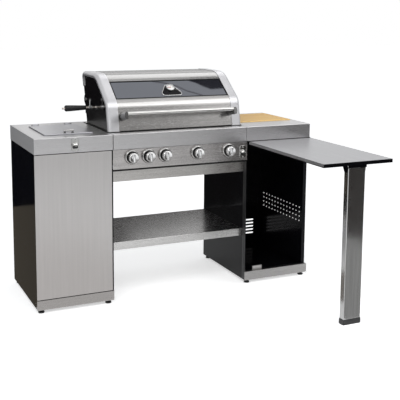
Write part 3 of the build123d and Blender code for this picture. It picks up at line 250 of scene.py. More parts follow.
def mix_shades(tree, factor, dark, light):
    mix = tree.nodes.new("ShaderNodeMix")
    mix.data_type = "RGBA"
    mix.inputs["A"].default_value = (*dark, 1)
    mix.inputs["B"].default_value = (*light, 1)
    tree.links.new(factor, mix.inputs["Factor"])
    tree.links.new(mix.outputs["Result"], tree.nodes["Principled BSDF"].inputs["Base Color"])


def tint(tree, pattern, dark, light):
    mix_shades(tree, spread(tree, pattern, 0, 1), dark, light)


def roughen(tree, pattern, low, high):
    tree.links.new(spread(tree, pattern, low, high), tree.nodes["Principled BSDF"].inputs["Roughness"])


def grain_bump(tree, height, strength, depth):
    bump = tree.nodes.new("ShaderNodeBump")
    bump.inputs["Strength"].default_value = strength
    bump.inputs["Distance"].default_value = depth
    tree.links.new(height, bump.inputs["Height"])
    tree.links.new(bump.outputs[0], tree.nodes["Principled BSDF"].inputs["Normal"])


def dress(finish, *names):
    for name in names:
        mesh = node[name].data
        mesh.materials.clear()
        mesh.materials.append(finish)


def moulded(name, dark, light, gloss, specular=0.5):
    finish, tree, shader = new_finish(name)
    shader.inputs["Specular IOR Level"].default_value = specular
    spark = stretched_noise(tree, scale=600.0, detail=2.0)
    tint(tree, spark, dark, light)
    roughen(tree, spark, gloss, gloss + 0.13)
    grain_bump(tree, spark, strength=0.15, depth=0.0003)
    return finish


black_moulding = moulded("black_moulding", (0.011, 0.011, 0.012), (0.02, 0.02, 0.021), gloss=0.32)
dress(black_moulding, "levelling_feet")


# Cabinet sides, backs and floors: pressed steel under gloss black enamel.
# The baked paint keeps a faint orange-peel wave, and the perforated side has a satin coat.
def enamel(name, colour, gloss, ior=1.23):
    finish, tree, shader = new_finish(name)
    shader.inputs["IOR"].default_value = ior
    wave = stretched_noise(tree, scale=90.0, detail=1.0)
    cloud = stretched_noise(tree, scale=5.0, detail=2.0)
    darker = [0.8 * c for c in colour]
    tint(tree, cloud, darker, colour)
    roughen(tree, cloud, gloss, gloss + 0.06)
    grain_bump(tree, wave, strength=0.04, depth=0.0006)
    return finish


black_enamel = enamel("black_enamel", (0.003, 0.003, 0.0042), gloss=0.05)
dress(black_enamel, "left_outer_side", "left_inner_side", "left_back", "left_floor")
dress(black_enamel, "right_inner_side", "right_back", "right_floor")
dress(enamel("satin_enamel", (0.005, 0.005, 0.007), gloss=0.15), "right_outer_side")


# Plinths, bay rails and shelf: brushed stainless sheet, folded.
# The strokes run along each sheet and show as streaks in shade, gloss and grain.
# Each stainless part gets its own base shades, set lighter or darker to match how much light it shows where
# it stands: painted light and shade over one steel.
def brushed_steel(name, stroke, dark, light, gloss, relief=0.12):
    finish, tree, shader = new_finish(name)
    shader.inputs["Metallic"].default_value = 1.0
    stretch = [1.0 if axis == stroke else 40.0 for axis in "xyz"]
    streaks = stretched_noise(tree, scale=3.0, detail=4.0, stretch=stretch)
    strokes = stretched_noise(tree, scale=34.0, detail=2.0, stretch=stretch)
    tint(tree, streaks, dark, light)
    roughen(tree, strokes, *gloss)
    grain_bump(tree, strokes, relief, depth=0.0004)
    return finish


rail_steel = brushed_steel("brushed_across", "x", (0.405, 0.393, 0.38), (0.445, 0.433, 0.42), (0.24, 0.34))
dress(rail_steel, "bay_rails")
plinth_steel = brushed_steel(
    "brushed_plinth", "x", (0.345, 0.337, 0.332), (0.375, 0.367, 0.362), (0.24, 0.34)
)
dress(plinth_steel, "left_plinth", "right_plinth")
shelf_steel = brushed_steel(
    "brushed_shelf", "x", (0.5, 0.495, 0.49), (0.55, 0.545, 0.54), (0.2, 0.3), relief=0.03
)
dress(shelf_steel, "shelf")

# Worktops and grill surround: pressed stainless caps with deep aprons.
# They hang over the cabinets and are screwed from inside.
# The two outer ends are made less metallic, so they mirror less and take more of the lamps' diffuse light:
# painted light that brightens the end faces.
end_starts, end_full = 0.7962, 0.7976
end_metal = 0.25


def along(tree, axis):
    where = tree.nodes.new("ShaderNodeTexCoord")
    axes = tree.nodes.new("ShaderNodeSeparateXYZ")
    tree.links.new(where.outputs["Object"], axes.inputs[0])
    return axes.outputs[axis]


worktop_steel = brushed_steel(
    "brushed_worktop", "x", (0.46, 0.455, 0.46), (0.49, 0.485, 0.49), (0.26, 0.34)
)
# Less metal towards both ends: painted light on the end faces.
tree = worktop_steel.node_tree
from_middle = reckon(tree, "ABSOLUTE", along(tree, "X"))
metal_share = spread(tree, from_middle, 1.0, end_metal, end_starts, end_full)
tree.links.new(metal_share, tree.nodes["Principled BSDF"].inputs["Metallic"])
dress(worktop_steel, "left_worktop", "right_worktop", "grill_surround")

# Control panel: a folded stainless strip below the middle apron, with a black rubber strip under it that is
# painted shade for the shadow gap above the rail.
# Black moulded guards cover the cabinets' front edges on both sides of the bay.
# A turned chrome bezel is pressed on round each knob's stem.
front_y = 0.0965
knob_z = 0.778
main_knobs_x = (-0.29, -0.103, 0.084, 0.271)
side_knob_x = -0.1965
panel_shade_strip = ((-0.389, 0.389), (0.0975, 0.1215), (0.707, 0.7163))
guard_z = (0.0215, 0.7055)
guard_lip = 0.0024
guard_web = ((0.3893, 0.3904), (0.1006, 0.1352), guard_z)
guard_lips = [((0.3886, 0.3893), (y, y + guard_lip), guard_z) for y in (0.1016, 0.1185)]
bezel_outline = (
    (0.0, 0.0294), (0.0, 0.0386), (0.003, 0.039), (0.008, 0.0386), (0.0125, 0.0372), (0.0152, 0.0348),
    (0.016, 0.0325), (0.0156, 0.0308), (0.0138, 0.0298), (0.0, 0.0294),
)


def metal_plate(name, colour, gloss):
    finish, tree, shader = new_finish(name)
    shader.inputs["Metallic"].default_value = 1.0
    wipe = stretched_noise(tree, scale=30.0, detail=3.0)
    dull = [0.9 * c for c in colour]
    tint(tree, wipe, dull, colour)
    roughen(tree, wipe, gloss, gloss + 0.06)
    return finish


def turn(bm, outline, to_place, steps, wobble=None):
    rings = []
    for height, radius in outline:
        if radius == 0:
            rings.append([bm.verts.new(to_place @ Vector((0, 0, height)))])
            continue
        ring = []
        for n in range(steps):
            angle = 2 * math.pi * n / steps
            r = radius + (wobble(angle, height, radius) if wobble else 0)
            ring.append(bm.verts.new(to_place @ Vector((r * math.cos(angle), r * math.sin(angle), height))))
        rings.append(ring)
    for low, high in zip(rings, rings[1:]):
        for n in range(steps):
            m = (n + 1) % steps
            corners = [low[n % len(low)], low[m % len(low)], high[m % len(high)], high[n % len(high)]]
            bm.faces.new(list(dict.fromkeys(corners)))


def weld(bm):
    bmesh.ops.remove_doubles(bm, verts=bm.verts, dist=1e-6)


def set_in_place(name, mesh, body):
    made = bpy.data.objects.new(name, mesh)
    bpy.context.collection.objects.link(made)
    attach(made, body)
    return made


def piece(name, bm, finish, body, smooth=35):
    bmesh.ops.recalc_face_normals(bm, faces=bm.faces)
    mesh = bpy.data.meshes.new(name)
    bm.to_mesh(mesh)
    bm.free()
    mesh.materials.append(finish)
    mesh.shade_smooth()
    mesh.set_sharp_from_angle(angle=math.radians(smooth))
    return set_in_place(name, mesh, body)


def facing_front(x, y, z):
    return Matrix.Translation((x, y, z)) @ Matrix.Rotation(math.radians(90), 4, "X")


def slab(bm, x_span, y_span, z_span):
    corners = [bm.verts.new((x, y, z)) for z in z_span for y in y_span for x in x_span]
    for face in ((0, 1, 3, 2), (4, 5, 7, 6), (0, 1, 5, 4), (1, 3, 7, 5), (3, 2, 6, 7), (2, 0, 4, 6)):
        bm.faces.new([corners[n] for n in face])


def slabs(name, spans, finish, body):
    bm = bmesh.new()
    for x_span, y_span, z_span in spans:
        slab(bm, x_span, y_span, z_span)
    piece(name, bm, finish, body)


def both_sides(*spans):
    return [([side * x for x in xs], ys, zs) for side in (-1, 1) for xs, ys, zs in spans]


def knob_rings(name, outline, finish, steps):
    bm = bmesh.new()
    for x in (*main_knobs_x, side_knob_x):
        turn(bm, outline, facing_front(x, front_y, knob_z), steps)
    weld(bm)
    return piece(name, bm, finish, "island")


panel_steel = brushed_steel(
    "brushed_panel", "x", (0.37, 0.357, 0.352), (0.46, 0.444, 0.438), (0.22, 0.32)
)
dress(panel_steel, "control_panel")
shade_strip_rubber = moulded("black_rubber_painted_shade", (0.006, 0.006, 0.006), (0.01, 0.01, 0.01), gloss=0.6, specular=0.15)
# A black strip fills the gap under the panel: painted shade.
slabs("panel_shade_strip", [panel_shade_strip], shade_strip_rubber, "island")
slabs("bay_edge_guards", both_sides(guard_web, *guard_lips), black_moulding, "island")
# The bezel chrome is darkened to about the panel's grey: painted shade that blends the bezels' lower sides
# into the panel.
darkened_chrome = metal_plate("darkened_chrome", (0.36, 0.355, 0.35), gloss=0.08)
bezels = knob_rings("turned_bezels", bezel_outline, darkened_chrome, steps=64)
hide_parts("knob_bezels")

# Painted shade rings: black dishes behind each knob.
# They paint the shaded gap between the bezel and the knob dark.
shade_dish_outline = (
    (0.0002, 0.0075), (0.001, 0.0078), (0.0016, 0.02), (0.003, 0.0276), (0.0135, 0.0282),
    (0.0139, 0.0293), (0.0002, 0.0293), (0.0002, 0.0075),
)
# One black serves the real black skirts, pointers, ticks and numbers, and the painted shade of the dishes
# and opener mouths.
black_and_painted_shade = moulded("black_lacquer_and_painted_shade", (0.008, 0.008, 0.008), (0.014, 0.014, 0.014), gloss=0.3)
knob_rings("painted_shade_dishes", shade_dish_outline, black_and_painted_shade, steps=48)


# Firebox and what it holds: enamelled tub, iron grates, bare steel burners and tray.
# The manifold and its valves are turned brass.
# Hinge pins and door catch are of the same bare steel as the burners.
def cast_metal(name, dark, light, gloss, grain_scale, grain_depth):
    finish, tree, shader = new_finish(name)
    shader.inputs["Metallic"].default_value = 1.0
    grain = stretched_noise(tree, grain_scale, detail=3.0)
    cloud = stretched_noise(tree, scale=9.0, detail=3.0)
    tint(tree, cloud, dark, light)
    roughen(tree, grain, *gloss)
    grain_bump(tree, grain, strength=0.2, depth=grain_depth)
    return finish


black_iron, tree, shader = new_finish("black_iron")
shader.inputs["Specular IOR Level"].default_value = 0.4
iron_grain = stretched_noise(tree, scale=420.0, detail=3.0)
tint(tree, iron_grain, (0.012, 0.012, 0.012), (0.03, 0.029, 0.028))
roughen(tree, iron_grain, 0.45, 0.65)
grain_bump(tree, iron_grain, strength=0.35, depth=0.0006)
bare_steel = cast_metal("bare_steel", (0.42, 0.41, 0.4), (0.5, 0.49, 0.48), (0.28, 0.4), 160.0, 0.0002)
gas_brass = cast_metal("gas_brass", (0.5, 0.36, 0.14), (0.6, 0.44, 0.2), (0.3, 0.42), 220.0, 0.0002)
dress(enamel("firebox_enamel", (0.014, 0.013, 0.012), gloss=0.2, ior=1.65), "firebox")
dress(black_iron, "cooking_grates")
dress(bare_steel, "main_burners", "flame_tamers", "warming_rack", "grease_tray", "hinge_pins", "door_catch")
dress(gas_brass, "gas_manifold")

# Side burner: a pressed bowl in the left worktop, with an iron head and pan support.
# Its lid is a shallow brushed pan with a small chrome bar on two dark feet.
lid_top = 0.9063
lid_bar_centre = Vector((-0.593, 0.1995, 0.9193))
lid_bar_half = 0.029
lid_bar_radius = 0.0046
lid_bar_bends = 6
lid_foot_span = 0.02
lid_foot_outline = (
    (0, 0), (0, 0.0075), (0.0015, 0.0075), (0.003, 0.0056), (0.0085, 0.0047), (0.0085, 0),
)
dress(bare_steel, "side_burner_bowl")
dress(black_iron, "pan_support", "side_burner_head")
lid_steel = brushed_steel("brushed_lid", "x", (0.37, 0.37, 0.39), (0.4, 0.4, 0.425), (0.28, 0.36))
dress(lid_steel, "side_burner_lid")
lid_bar_outline = [(-lid_bar_half, 0)]
for n in range(1, lid_bar_bends + 1):
    lean = math.radians(90 * n / lid_bar_bends)
    back = lid_bar_radius * (1 - math.cos(lean))
    lid_bar_outline.append((-lid_bar_half + back, lid_bar_radius * math.sin(lean)))
lid_bar_outline += [(-h, r) for h, r in reversed(lid_bar_outline)]
bm = bmesh.new()
lid_bar_place = Matrix.Translation(lid_bar_centre) @ Matrix.Rotation(math.radians(90), 4, "Y")
turn(bm, lid_bar_outline, lid_bar_place, steps=24)
# The bar uses the darkened bezel chrome: painted shade that keeps it from shining white.
piece("lid_bar", bm, darkened_chrome, "side_burner_lid")
dark_chrome = metal_plate("dark_chrome", (0.16, 0.16, 0.16), gloss=0.14)
bm = bmesh.new()
for side in (-1, 1):
    foot = Matrix.Translation((lid_bar_centre.x + side * lid_foot_span, lid_bar_centre.y, lid_top))
    turn(bm, lid_foot_outline, foot, steps=24)
piece("lid_bar_feet", bm, dark_chrome, "side_burner_lid")

# Knobs: cast caps with a fluted skirt and a grip bar across a dished face.
# Chrome plate over a black moulded skirt; a dark pointer line is filled into the bar.
knob_gap = 0.003
knob_back = front_y - knob_gap
knob_outline = (
    (0.0, 0.0), (0.0, 0.0245), (0.002, 0.0258), (0.026, 0.0256), (0.0388, 0.0256), (0.0424, 0.0248),
    (0.0438, 0.023), (0.0428, 0.019), (0.0413, 0.013), (0.0409, 0.006), (0.0409, 0.0),
)
stem_outline = ((-0.036, 0.0), (-0.036, 0.004), (0.001, 0.004), (0.001, 0.0))
skirt_outline = (
    (0.0006, 0.0245), (0.0006, 0.026), (0.02, 0.026), (0.022, 0.0256), (0.022, 0.0245), (0.0006, 0.0245),
)
flute_count = 18
flute_depth = 0.0011
flute_low, flute_high = 0.001, 0.042
flute_radius = 0.022
grip_steps = 40
grip_half_width = 0.006
grip_half_length = 0.0235
grip_taper = 0.008
grip_top = 0.048
grip_rows = ((0.04, 1.0), (0.0455, 0.94), (0.0472, 0.86), (grip_top, 0.7))
pointer_half = 0.0007
pointer_proud, pointer_sunk = 0.0003, 0.0001
pointer_starts, pointer_ends = 0.0095, 0.0195
knob_chrome = metal_plate("knob_chrome", (0.74, 0.74, 0.74), gloss=0.12)


def bridge(bm, low, high):
    for n in range(len(low)):
        m = (n + 1) % len(low)
        bm.faces.new((low[n], low[m], high[m], high[n]))


def stacked(bm, rows, to_place, close_top=True, close_bottom=True):
    rings = [[bm.verts.new(to_place @ Vector((*p, height))) for p in line] for line, height in rows]
    for low, high in zip(rings, rings[1:]):
        bridge(bm, low, high)
    if close_top:
        bm.faces.new(rings[-1])
    if close_bottom:
        bm.faces.new(list(reversed(rings[0])))


def flutes(angle, height, radius):
    if not flute_low < height < flute_high or radius < flute_radius:
        return 0
    return -flute_depth * max(0.0, math.cos(flute_count * angle)) ** 2


def grip_line(share):
    line = []
    half_length = grip_half_length - (1 - share) * grip_taper
    for n in range(grip_steps):
        angle = 2 * math.pi * n / grip_steps
        c, s = math.cos(angle), math.sin(angle)
        across = math.copysign(abs(c) ** 0.5, c) * grip_half_width * share
        line.append((across, math.copysign(abs(s) ** 0.7, s) * half_length))
    return line


def make_knob(name, x):
    place = facing_front(x, knob_back, knob_z)
    bm = bmesh.new()
    turn(bm, knob_outline, place, steps=144, wobble=flutes)
    stacked(bm, [(grip_line(share), height) for height, share in grip_rows], place)
    turn(bm, stem_outline, place, steps=24)
    made = piece("cast_" + name, bm, knob_chrome, name, smooth=40)
    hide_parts(name)
    tip = knob_back - grip_top
    pointer = (
        (x - pointer_half, x + pointer_half),
        (tip - pointer_proud, tip + pointer_sunk),
        (knob_z + pointer_starts, knob_z + pointer_ends),
    )
    slabs("pointer_" + name, [pointer], black_and_painted_shade, name)
    bm = bmesh.new()
    turn(bm, skirt_outline, place, steps=72)
    weld(bm)
    piece("skirt_" + name, bm, black_and_painted_shade, name)


for n, x in enumerate(main_knobs_x, 1):
    make_knob(f"main_knob_{n}", x)
make_knob("side_burner_knob", side_knob_x)

# Bottle openers: chromed castings screwed to the left apron and the control panel.
# Each has a hooded mouth over a round-cornered plate, and a screw above and below it.
opener_low, opener_high = (-0.02, -0.035), (0.02, 0.035)
opener_corner = 0.0132
opener_thick = 0.003
opener_rows = ((0.0, 0.0), (0.0, 0.0018), (0.0012, opener_thick))
shell_step = 7.5
shell_rows, shell_columns = 13, 25
shell_outside, shell_inside, shade_lining = (
    (0.019, 0.018, 0.019), (0.0155, 0.0145, 0.0155), (0.0153, 0.0143, 0.0153),
)
shell_foot, shade_lining_foot = -0.004, -0.0041
tooth_tip = Vector((0, -0.004, 0.0185))
tooth_spans = ((-0.005, 0.005), (-0.002, 0.003), (-0.0025, 0.0015))
opener_screw_rise = 0.026
opener_screw_outline = (
    (0, 0), (0, 0.0046), (0.0008, 0.0044), (0.0016, 0.0034),
    (0.0018, 0.0015), (0.0008, 0.0011), (0.0008, 0),
)
# The mouth's hollow is painted shade: a black patch on the plate under the hood, and a black lining inside
# it.
shade_patch_low, shade_patch_high = (-0.0145, -0.021), (0.0145, 0.0085)
shade_patch_corner = 0.006
shade_patch_height = 0.0031
# The openers' chrome is darkened to a mid grey: painted shade for the dull reflections on their plates.
darkened_opener_chrome = metal_plate("darkened_opener_chrome", (0.45, 0.45, 0.44), gloss=0.1)


def inset_box(low, high, inset=0):
    (x0, y0), (x1, y1) = low, high
    return [
        (x0 + inset, y0 + inset), (x1 - inset, y0 + inset),
        (x1 - inset, y1 - inset), (x0 + inset, y1 - inset),
    ]


def rounded(corners, radius, steps):
    line = []
    count = len(corners)
    for n in range(count):
        before, here, after = (Vector(corners[(n + k) % count]) for k in (-1, 0, 1))
        a, b = (before - here).normalized(), (after - here).normalized()
        half = a.angle(b) / 2
        centre = here + (a + b).normalized() * (radius / math.sin(half))
        start = here + a * (radius / math.tan(half)) - centre
        end = here + b * (radius / math.tan(half)) - centre
        sweep = start.angle_signed(end)
        for k in range(steps + 1):
            turned_by = Matrix.Rotation(-sweep * k / steps, 2)
            line.append(centre + turned_by @ start)
    return line


def hood_shell(bm, place, size, foot):
    wide, tall, deep = size
    rows = []
    for i in range(shell_rows):
        lift = math.radians(shell_step * i)
        row = []
        for j in range(shell_columns):
            around = math.radians(shell_step * j)
            across = wide * math.cos(around) * math.cos(lift)
            rise = tall * math.sin(around) * math.cos(lift) + foot
            out = opener_thick + deep * math.sin(lift)
            row.append(bm.verts.new(place @ Vector((across, rise, out))))
        rows.append(row)
    for low, high in zip(rows, rows[1:]):
        for n in range(shell_columns - 1):
            bm.faces.new((low[n], low[n + 1], high[n + 1], high[n]))
    return [row[0] for row in rows] + [row[-1] for row in reversed(rows)]


def make_opener(name, x, z):
    place = facing_front(x, front_y, z)
    bm = bmesh.new()
    rows = []
    for inset, height in opener_rows:
        line = rounded(inset_box(opener_low, opener_high, inset), opener_corner - inset, steps=10)
        rows.append((line, height))
    stacked(bm, rows, place)
    outer = hood_shell(bm, place, shell_outside, shell_foot)
    inner = hood_shell(bm, place, shell_inside, shell_foot)
    for n in range(len(outer) - 1):
        quad = dict.fromkeys((outer[n], outer[n + 1], inner[n + 1], inner[n]))
        bm.faces.new(list(quad))
    slab(bm, *([at + reach for reach in span] for at, span in zip(place @ tooth_tip, tooth_spans)))
    for rise in (opener_screw_rise, -opener_screw_rise):
        head = place @ Matrix.Translation((0, rise, opener_thick))
        turn(bm, opener_screw_outline, head, steps=24)
    weld(bm)
    made = piece("cast_" + name, bm, darkened_opener_chrome, "island", smooth=45)
    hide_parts(name)
    # Painted shade for the mouth's hollow: a black lining inside the hood and a black patch on the plate
    # below it.
    bm = bmesh.new()
    hood_shell(bm, place, shade_lining, shade_lining_foot)
    mouth = rounded(inset_box(shade_patch_low, shade_patch_high), shade_patch_corner, steps=6)
    stacked(bm, [(mouth, shade_patch_height)], place, close_bottom=False)
    weld(bm)
    piece("mouth_" + name, bm, black_and_painted_shade, "island", smooth=45)


make_opener("left_bottle_opener", -0.59, 0.862)
make_opener("right_bottle_opener", 0.3625, 0.764)

# Hood skins and end castings: two bent brushed sheets between blasted aluminium arches.
# Black enamelled sides are held behind the castings' rims.
# Black rubber strips lie under the hood's front edge and along both ends of the surround: painted shade for
# the shadow lines at the hood's foot.
hood_shade_seal = (
    ((-0.388, 0.388), (0.1655, 0.1755), (0.9006, 0.9038)),
    ((-0.3303, 0.3303), (0.1648, 0.169), (0.9006, 0.9066)),
)
surround_shade_seal = ((0.3893, 0.3925), (0.172, 0.6), (0.9, 0.9034))
hood_steel = brushed_steel("brushed_hood", "x", (0.32, 0.315, 0.31), (0.38, 0.375, 0.37), (0.18, 0.28))
dress(hood_steel, "hood_front_skin")
# The top skin is the same steel as the front skin, given darker shades: painted shade.
shaded_hood_top_steel = brushed_steel(
    "shaded_brushed_hood_top", "x", (0.25, 0.248, 0.246), (0.29, 0.287, 0.285), (0.16, 0.24)
)
dress(shaded_hood_top_steel, "hood_top_skin")
cast_silver = cast_metal(
    "cast_silver", (0.46, 0.46, 0.475), (0.51, 0.51, 0.525), (0.36, 0.46), 700.0, 0.0003
)
dress(cast_silver, "left_hood_cap", "right_hood_cap")
hood_enamel = enamel("hood_enamel", (0.007, 0.006, 0.006), gloss=0.08, ior=1.36)
dress(hood_enamel, "left_hood_side", "right_hood_side")
# Black strips under the hood's front and ends: painted shade for the shadow lines there.
slabs("hood_shade_seal", hood_shade_seal, shade_strip_rubber, "hood")
slabs("surround_shade_seal", both_sides(surround_shade_seal), shade_strip_rubber, "island")

# Hood window: tempered glass with a dark mirror tint, bedded in a black rubber frame drawn as wide as the
# shadow gap under the skins' edges, which is painted shade.
# From outside it shows the sky more than the fire.
window_low, window_high = (-0.3305, -0.069), (0.3305, 0.072)
seal_width = 0.006
seal_rows = (
    (0.0, 0.0002), (0.0, 0.0026), (0.0016, 0.0034),
    (seal_width - 0.002, 0.0034), (seal_width, 0.0018), (seal_width, 0.0002),
)
slope = Vector((0, 0.802043, 0.597266))
slope_out = Vector((0, -0.597266, 0.802043))
dial_foot = Vector((0, 0.27519, 1.10773))
glass_axes = Matrix(((1, 0, 0), slope, slope_out)).transposed().to_4x4()
on_glass = Matrix.Translation(dial_foot) @ glass_axes
dark_glass, tree, shader = new_finish("dark_glass")
shader.inputs["IOR"].default_value = 2.4
shader.inputs["Specular Tint"].default_value = (0.86, 0.9, 1.0, 1)
smear = stretched_noise(tree, scale=6.0, detail=3.0)
tint(tree, smear, (0.012, 0.013, 0.018), (0.018, 0.019, 0.026))
roughen(tree, smear, 0.012, 0.03)
dress(dark_glass, "hood_window")
# The black frame round the glass is painted shade for the shadow gap at its edges.
bm = bmesh.new()
rows = []
for inset, height in seal_rows:
    corners = inset_box(window_low, window_high, inset)
    rows.append([bm.verts.new(on_glass @ Vector((*p, height))) for p in corners])
for first, second in zip(rows, rows[1:] + rows[:1]):
    bridge(bm, first, second)
piece("window_shade_seal", bm, shade_strip_rubber, "hood")

# Hood handle: a chromed steel tube between two dark chrome posts.
# The posts are screwed through the front skin.
# The tube's chrome is darkened so its underside reads dark: painted shade.
dress(metal_plate("darkened_handle_chrome", (0.47, 0.465, 0.455), gloss=0.08), "hood_handle")
dress(dark_chrome, "handle_posts")

# Gauge: a chrome-rimmed shield with a black field, and a round dial case on it.
# The dial is silvered, printed with ticks and plain numbers.
gauge_low, gauge_high = -0.057, 0.031
gauge_half_low, gauge_half_high = 0.074, 0.023
gauge_corner = 0.02
rim_rows = (
    (0.0, 0.0), (0.0, 0.0034), (0.0012, 0.0048), (0.003, 0.005),
    (0.0046, 0.0042), (0.005, 0.003), (0.005, 0.0),
)
field_rows = ((0.0048, 0.0), (0.0048, 0.0024), (0.006, 0.003))
case_outline = (
    (0.0025, 0.025), (0.011, 0.025), (0.0145, 0.0247), (0.0158, 0.0238), (0.016, 0.0228), (0.0154, 0.0221),
    (0.0125, 0.0219), (0.0118, 0.0219),
)
dial_height = 0.0125
dial_outline = (
    (0.0105, 0.0), (0.0105, 0.0222), (dial_height, 0.0222),
    (dial_height, 0.0013), (0.0065, 0.0013), (0.0065, 0.0),
)
tick_count = 19
tick_end = 0.0205
long_tick, short_tick = (0.0165, 0.0004), (0.0182, 0.0002)
tick_sunk, tick_proud = 0.0001, 0.00015
dial_numbers = ("50", "150", "250", "350")
number_size = 0.0045
number_relief = 0.0001
number_circle = 0.0133
number_rise = 0.001


def shield(inset):
    low, high = gauge_low + inset, gauge_high - inset
    slant = (gauge_half_low - gauge_half_high) / (gauge_high - gauge_low)
    side = inset * math.sqrt(1 + slant * slant)
    wide_low = gauge_half_low - slant * inset - side
    wide_high = gauge_half_high + slant * inset - side
    corners = ((-wide_low, low), (wide_low, low), (wide_high, high), (-wide_high, high))
    return rounded(corners, gauge_corner - inset, steps=10)


def plain_mesh(holder):
    return bpy.data.meshes.new_from_object(holder.evaluated_get(bpy.context.evaluated_depsgraph_get()))


bm = bmesh.new()
rim = [(shield(inset), height) for inset, height in rim_rows]
stacked(bm, rim, on_glass, close_top=False, close_bottom=False)
turn(bm, case_outline, on_glass, steps=72)
gauge_chrome = metal_plate("gauge_chrome", (0.46, 0.46, 0.46), gloss=0.07)
gauge_rim = piece("gauge_rim", bm, gauge_chrome, "hood", smooth=50)
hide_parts("gauge_case")
bm = bmesh.new()
stacked(bm, [(shield(inset), height) for inset, height in field_rows], on_glass)
piece("gauge_field", bm, black_enamel, "hood")
silver_dial = metal_plate("silver_dial", (0.72, 0.72, 0.71), gloss=0.3)
bm = bmesh.new()
turn(bm, dial_outline, on_glass, steps=72)
piece("dial_face", bm, silver_dial, "hood")
bm = bmesh.new()
for n in range(tick_count):
    start, half = long_tick if n % 3 == 0 else short_tick
    spoke = on_glass @ Matrix.Rotation(math.pi - math.pi * n / (tick_count - 1), 4, "Z")
    tick = inset_box((start, -half), (tick_end, half))
    stacked(bm, [(tick, dial_height - tick_sunk), (tick, dial_height + tick_proud)], spoke)
piece("dial_ticks", bm, black_and_painted_shade, "hood")
for n, number in enumerate(dial_numbers):
    angle = math.pi - math.pi * n / (len(dial_numbers) - 1)
    text = bpy.data.curves.new("dial_number_" + number, "FONT")
    text.body = number
    text.size = number_size
    text.extrude = number_relief
    text.align_x, text.align_y = "CENTER", "CENTER"
    holder = bpy.data.objects.new("number_curve", text)
    bpy.context.collection.objects.link(holder)
    mesh = plain_mesh(holder)
    bpy.data.objects.remove(holder)
    across, along_slope = number_circle * math.cos(angle), number_circle * math.sin(angle) + number_rise
    mesh.transform(on_glass @ Matrix.Translation((across, along_slope, dial_height)))
    mesh.materials.clear()
    mesh.materials.append(black_and_painted_shade)
    set_in_place("dial_number_" + number, mesh, "hood")

# Gauge needle: a thin red-lacquered hand.
# It turns on a spindle in the dial's case.
needle_red, tree, shader = new_finish("needle_red")
shader.inputs["Roughness"].default_value = 0.3
tint(tree, stretched_noise(tree, scale=300.0, detail=1.0), (0.35, 0.012, 0.01), (0.42, 0.016, 0.012))
dress(needle_red, "gauge_needle")

# Spit: a plain steel rod with forks and collar, and a tapered black grip.
# The grip is phenolic moulding, duller and darker than the feet.
grip_moulding = moulded(
    "grip_moulding", (0.008, 0.008, 0.009), (0.014, 0.014, 0.015), gloss=0.4, specular=0.25
)
spit_steel = cast_metal("spit_steel", (0.42, 0.38, 0.34), (0.55, 0.5, 0.46), (0.18, 0.28), 160.0, 0.0002)
dress(spit_steel, "spit_rod")
dress(metal_plate("fitting_chrome", (0.7, 0.7, 0.7), gloss=0.1), "spit_fittings", "spit_bushings")
dress(grip_moulding, "spit_handle")

# Cutting board: pale hardwood staves glued side by side, oiled.
# Each stave has its own tone, and its grain runs along it.
stave_width = 0.042
stave_share, grain_share = 0.4, 0.6
board_wood, tree, shader = new_finish("board_wood")
shader.inputs["Specular IOR Level"].default_value = 0.25
stave_number = reckon(tree, "FLOOR", reckon(tree, "DIVIDE", along(tree, "Y"), stave_width))
stave_tone = tree.nodes.new("ShaderNodeTexWhiteNoise")
stave_tone.noise_dimensions = "1D"
tree.links.new(stave_number, stave_tone.inputs["W"])
wood_grain = stretched_noise(tree, scale=9.0, detail=5.0, stretch=(1.0, 14.0, 14.0))
grain_tone = reckon(tree, "MULTIPLY", wood_grain, grain_share)
tone = reckon(tree, "MULTIPLY_ADD", stave_tone.outputs["Value"], stave_share, grain_tone)
mix_shades(tree, tone, (0.66, 0.36, 0.1), (0.92, 0.66, 0.28))
roughen(tree, wood_grain, 0.5, 0.65)
grain_bump(tree, wood_grain, strength=0.15, depth=0.0006)
dress(board_wood, "cutting_board")

# Left door: a black pan faced with one brushed sheet.
# The strokes run upright, and the sheet ends at the pan's rounded edges.
door_y = 0.0975
door_skin_thick = 0.0004
skin_bevel = 0.3
skin_border = 0.001


def skin(name, body, finish, place, low, high, rise, hem, corner):
    rows = []
    bevel = rise * skin_bevel
    for inset, height in (
        (0.0, -hem), (0.0, -rise), (bevel, -bevel), (rise, 0.0), (rise + skin_border, 0.0),
    ):
        rows.append((rounded(inset_box(low, high, inset), corner, steps=6), height))
    bm = bmesh.new()
    stacked(bm, rows, place)
    piece(name, bm, finish, body, smooth=50)


dress(black_enamel, "left_door")
door_steel = brushed_steel(
    "brushed_upright", "z", (0.435, 0.424, 0.42), (0.462, 0.45, 0.446), (0.28, 0.34)
)
skin(
    "door_skin", "left_door", door_steel, facing_front(0, door_y - door_skin_thick, 0),
    low=(-0.7978, 0.0732), high=(-0.3962, 0.8168), rise=0.0012, hem=0.0016, corner=0.004,
)

# Table leaf: the right cabinet's door swung up, a black pan with a brushed sheet folded over it.
# A brushed strip covers its left edge, and it hangs on a flap hinge below the apron.
# A steel bracket under it takes the leg, behind a short black guard.
leaf_top = 0.8194
leaf_edge = ((0.39575, 0.39615), (-0.6535, 0.0802), (0.8052, 0.8172))
leg_guard = ((0.54, 0.646), (-0.6515, -0.6485), (0.7885, 0.8008))
dress(black_enamel, "table_leaf", "leaf_hinge", "leg_bracket")
